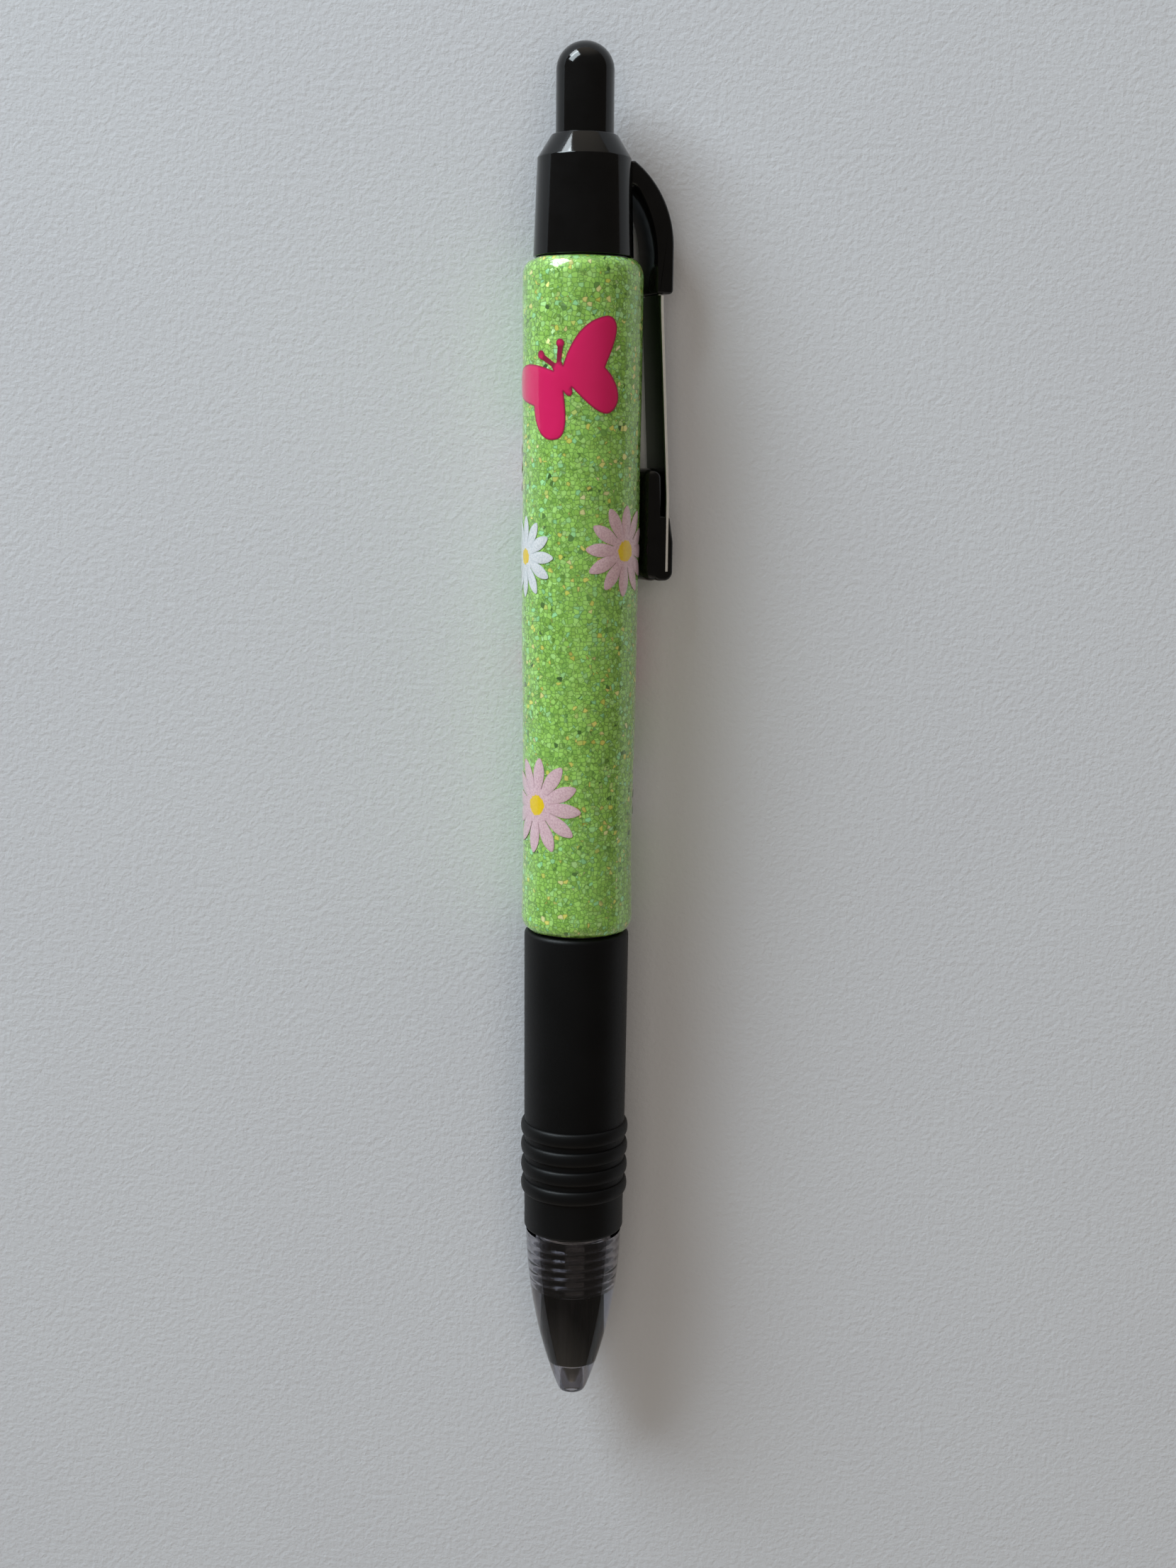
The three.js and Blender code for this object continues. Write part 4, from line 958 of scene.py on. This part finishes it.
low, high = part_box("point_ball")
BALL = (high.y - low.y) / 2 / MM
BALL_STEPS = 16
ball_rows = []
for i in range(BALL_STEPS + 1):
    turn = math.pi * i / BALL_STEPS
    radius = BALL * math.sin(turn) if 0 < i < BALL_STEPS else 0
    ball_rows.append((radius, along_of("point_ball", 0) + BALL * (1 - math.cos(turn))))
finish_piece("rolling_ball", lathe("rolling_ball", ball_rows, 32), "refill", CARBIDE, ["point_ball"])


def spring():
    """Closed, ground ends and open turns between them."""
    wire, mean, sides = 0.17, 1.85, 12
    front, rear = SPRING_FRONT + wire, SPRING_REAR - wire
    turns, per_turn, closed = 11.0, 40, 0.9  # closed is the part of a turn that each end flattens over
    steps = int(turns * per_turn)
    pitch = (rear - front) / (turns - closed)
    points, faces = [], []
    for i in range(steps + 1):
        turn = i / steps * turns
        along = front + pitch * (turn - closed / 2)
        if turn < closed:
            along = front + (turn / closed) ** 2 * pitch * closed / 2
        if turn > turns - closed:
            along = rear - ((turns - turn) / closed) ** 2 * pitch * closed / 2
        angle = 2 * math.pi * turn
        for k in range(sides):
            a = 2 * math.pi * k / sides
            r = mean + wire * math.cos(a)
            points.append(place(r * math.sin(angle), along + wire * math.sin(a), r * math.cos(angle)))
    for i in range(steps):
        for k in range(sides):
            j = (k + 1) % sides
            faces.append([i * sides + k, i * sides + j, (i + 1) * sides + j, (i + 1) * sides + k])
    faces.append(list(range(sides)))
    faces.append([steps * sides + k for k in range(sides)])
    return mesh_of("coil_spring", points, faces)


coil = finish_piece("coil_spring", spring(), "pen_body", SPRING_STEEL, ["return_spring"], 60)
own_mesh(coil)

for node, material in (("cam_rotor", WHITE), ("cam_sleeve", GREY), ("refill_tube", CLEAR), ("refill_ink", INK),
                       ("refill_follower", GREASE), ("refill_tail_plug", WHITE)):
    mesh = frame["nodes"][node].data
    mesh.materials.clear()
    mesh.materials.append(material)

# ------------------------------------------------------------------ paper, light and camera

def paper():
    look = Look("paper", Roughness=0.85, Specular_IOR_Level=0.2)
    fibres = look.noise(1600, 4, 0.6)
    broad = look.noise(35, 3)
    colour = look.mix(broad.outputs[0], srgb(226, 229, 236), srgb(220, 222, 230))
    height = look.math("ADD", fibres.outputs[0], look.math("MULTIPLY", broad.outputs[0], 0.5))
    look.set(look.shader, {"Base Color": colour, "Normal": look.bump(height, 0.5, 0.00022)})
    return look.material


FLOOR_HALF, FLOOR_Z = 1.5, -2e-5  # metres; just under the pen
floor_corners = [(x * FLOOR_HALF, y * FLOOR_HALF, FLOOR_Z) for x, y in ((-1, -1), (1, -1), (1, 1), (-1, 1))]
floor_mesh = mesh_of("paper_sheet", floor_corners, [[0, 1, 2, 3]])
floor = bpy.data.objects.new("paper_sheet", floor_mesh)
bpy.context.scene.collection.objects.link(floor)
floor_mesh.materials.append(paper())


def area_light(name, position, width, height, power, colour):
    """A rectangular light, in metres and watts, that faces the middle of the pen's frame."""
    data = bpy.data.lights.new(name, "AREA")
    data.shape = "RECTANGLE"
    data.size, data.size_y = width, height
    data.energy = power
    data.color = colour
    lamp = bpy.data.objects.new(name, data)
    bpy.context.scene.collection.objects.link(lamp)
    lamp.location = position
    lamp.rotation_euler = (-Vector(position)).to_track_quat("-Z", "Y").to_euler()
    return lamp


area_light("window_light", (-0.53, 0.68, 0.35), 0.55, 0.36, 8.3, (0.82, 0.94, 1.0))
sill_light = area_light("window_sill_glint", (-0.56, 0.86, 0.17), 0.42, 0.26, 4.4, (0.85, 0.94, 1.0))
sill_light.visible_diffuse = False
fill_light = area_light("ceiling_fill", (0.1, 0, 1.2), 1.2, 1.2, 3.1, (1.0, 0.89, 0.75))
fill_light.visible_glossy = False

# The room: dim above and to the sides, brighter along the pen, and darker to the right than to the left.
RIGHT_DARKER = -0.12
world = bpy.data.worlds.new("studio")
bpy.context.scene.world = world
world.use_nodes = True
tree = world.node_tree
direction = tree.nodes.new("ShaderNodeTexCoord")
split = tree.nodes.new("ShaderNodeSeparateXYZ")
tree.links.new(direction.outputs["Generated"], split.inputs[0])
square = tree.nodes.new("ShaderNodeMath")
square.operation = "MULTIPLY"
tree.links.new(split.outputs["Y"], square.inputs[0])
tree.links.new(split.outputs["Y"], square.inputs[1])
towards_right = tree.nodes.new("ShaderNodeMath")
towards_right.operation = "MULTIPLY_ADD"
towards_right.inputs[1].default_value = RIGHT_DARKER
tree.links.new(split.outputs["X"], towards_right.inputs[0])
tree.links.new(square.outputs[0], towards_right.inputs[2])
fade = tree.nodes.new("ShaderNodeValToRGB")
tree.links.new(towards_right.outputs[0], fade.inputs[0])
fade.color_ramp.elements[0].color = (0.115, 0.105, 0.092, 1)
fade.color_ramp.elements[1].color = (0.75, 0.68, 0.58, 1)
fade.color_ramp.elements.new(0.5).color = (0.15, 0.138, 0.122, 1)
background = tree.nodes["Background"]
tree.links.new(fade.outputs[0], background.inputs[0])
background.inputs[1].default_value = 1.0

CAMERA_ALONG, CAMERA_HEIGHT, CAMERA_SIDE = 102.98, 199.45, 1.08
CAMERA_TILT, CAMERA_ROLL, CAMERA_LENS = math.radians(9.6), math.radians(0.66), 43.32
camera_data = bpy.data.cameras.new("camera")
camera_data.lens = CAMERA_LENS
camera_data.sensor_width = 36
camera_data.clip_start = 0.01
camera = bpy.data.objects.new("camera", camera_data)
bpy.context.scene.collection.objects.link(camera)
ahead = Vector((0, -math.sin(CAMERA_TILT), -math.cos(CAMERA_TILT)))
up = Vector((0, math.cos(CAMERA_TILT), -math.sin(CAMERA_TILT)))
right = Vector((1, 0, 0))
rolled_right = right * math.cos(CAMERA_ROLL) + up * math.sin(CAMERA_ROLL)
rolled_up = up * math.cos(CAMERA_ROLL) - right * math.sin(CAMERA_ROLL)
turned = Matrix((rolled_right, rolled_up, -ahead)).transposed().to_4x4()
turned.translation = place(CAMERA_SIDE, CAMERA_ALONG, CAMERA_HEIGHT)
camera.matrix_world = turned
bpy.context.scene.camera = camera
bpy.context.scene.view_settings.view_transform = "Standard"
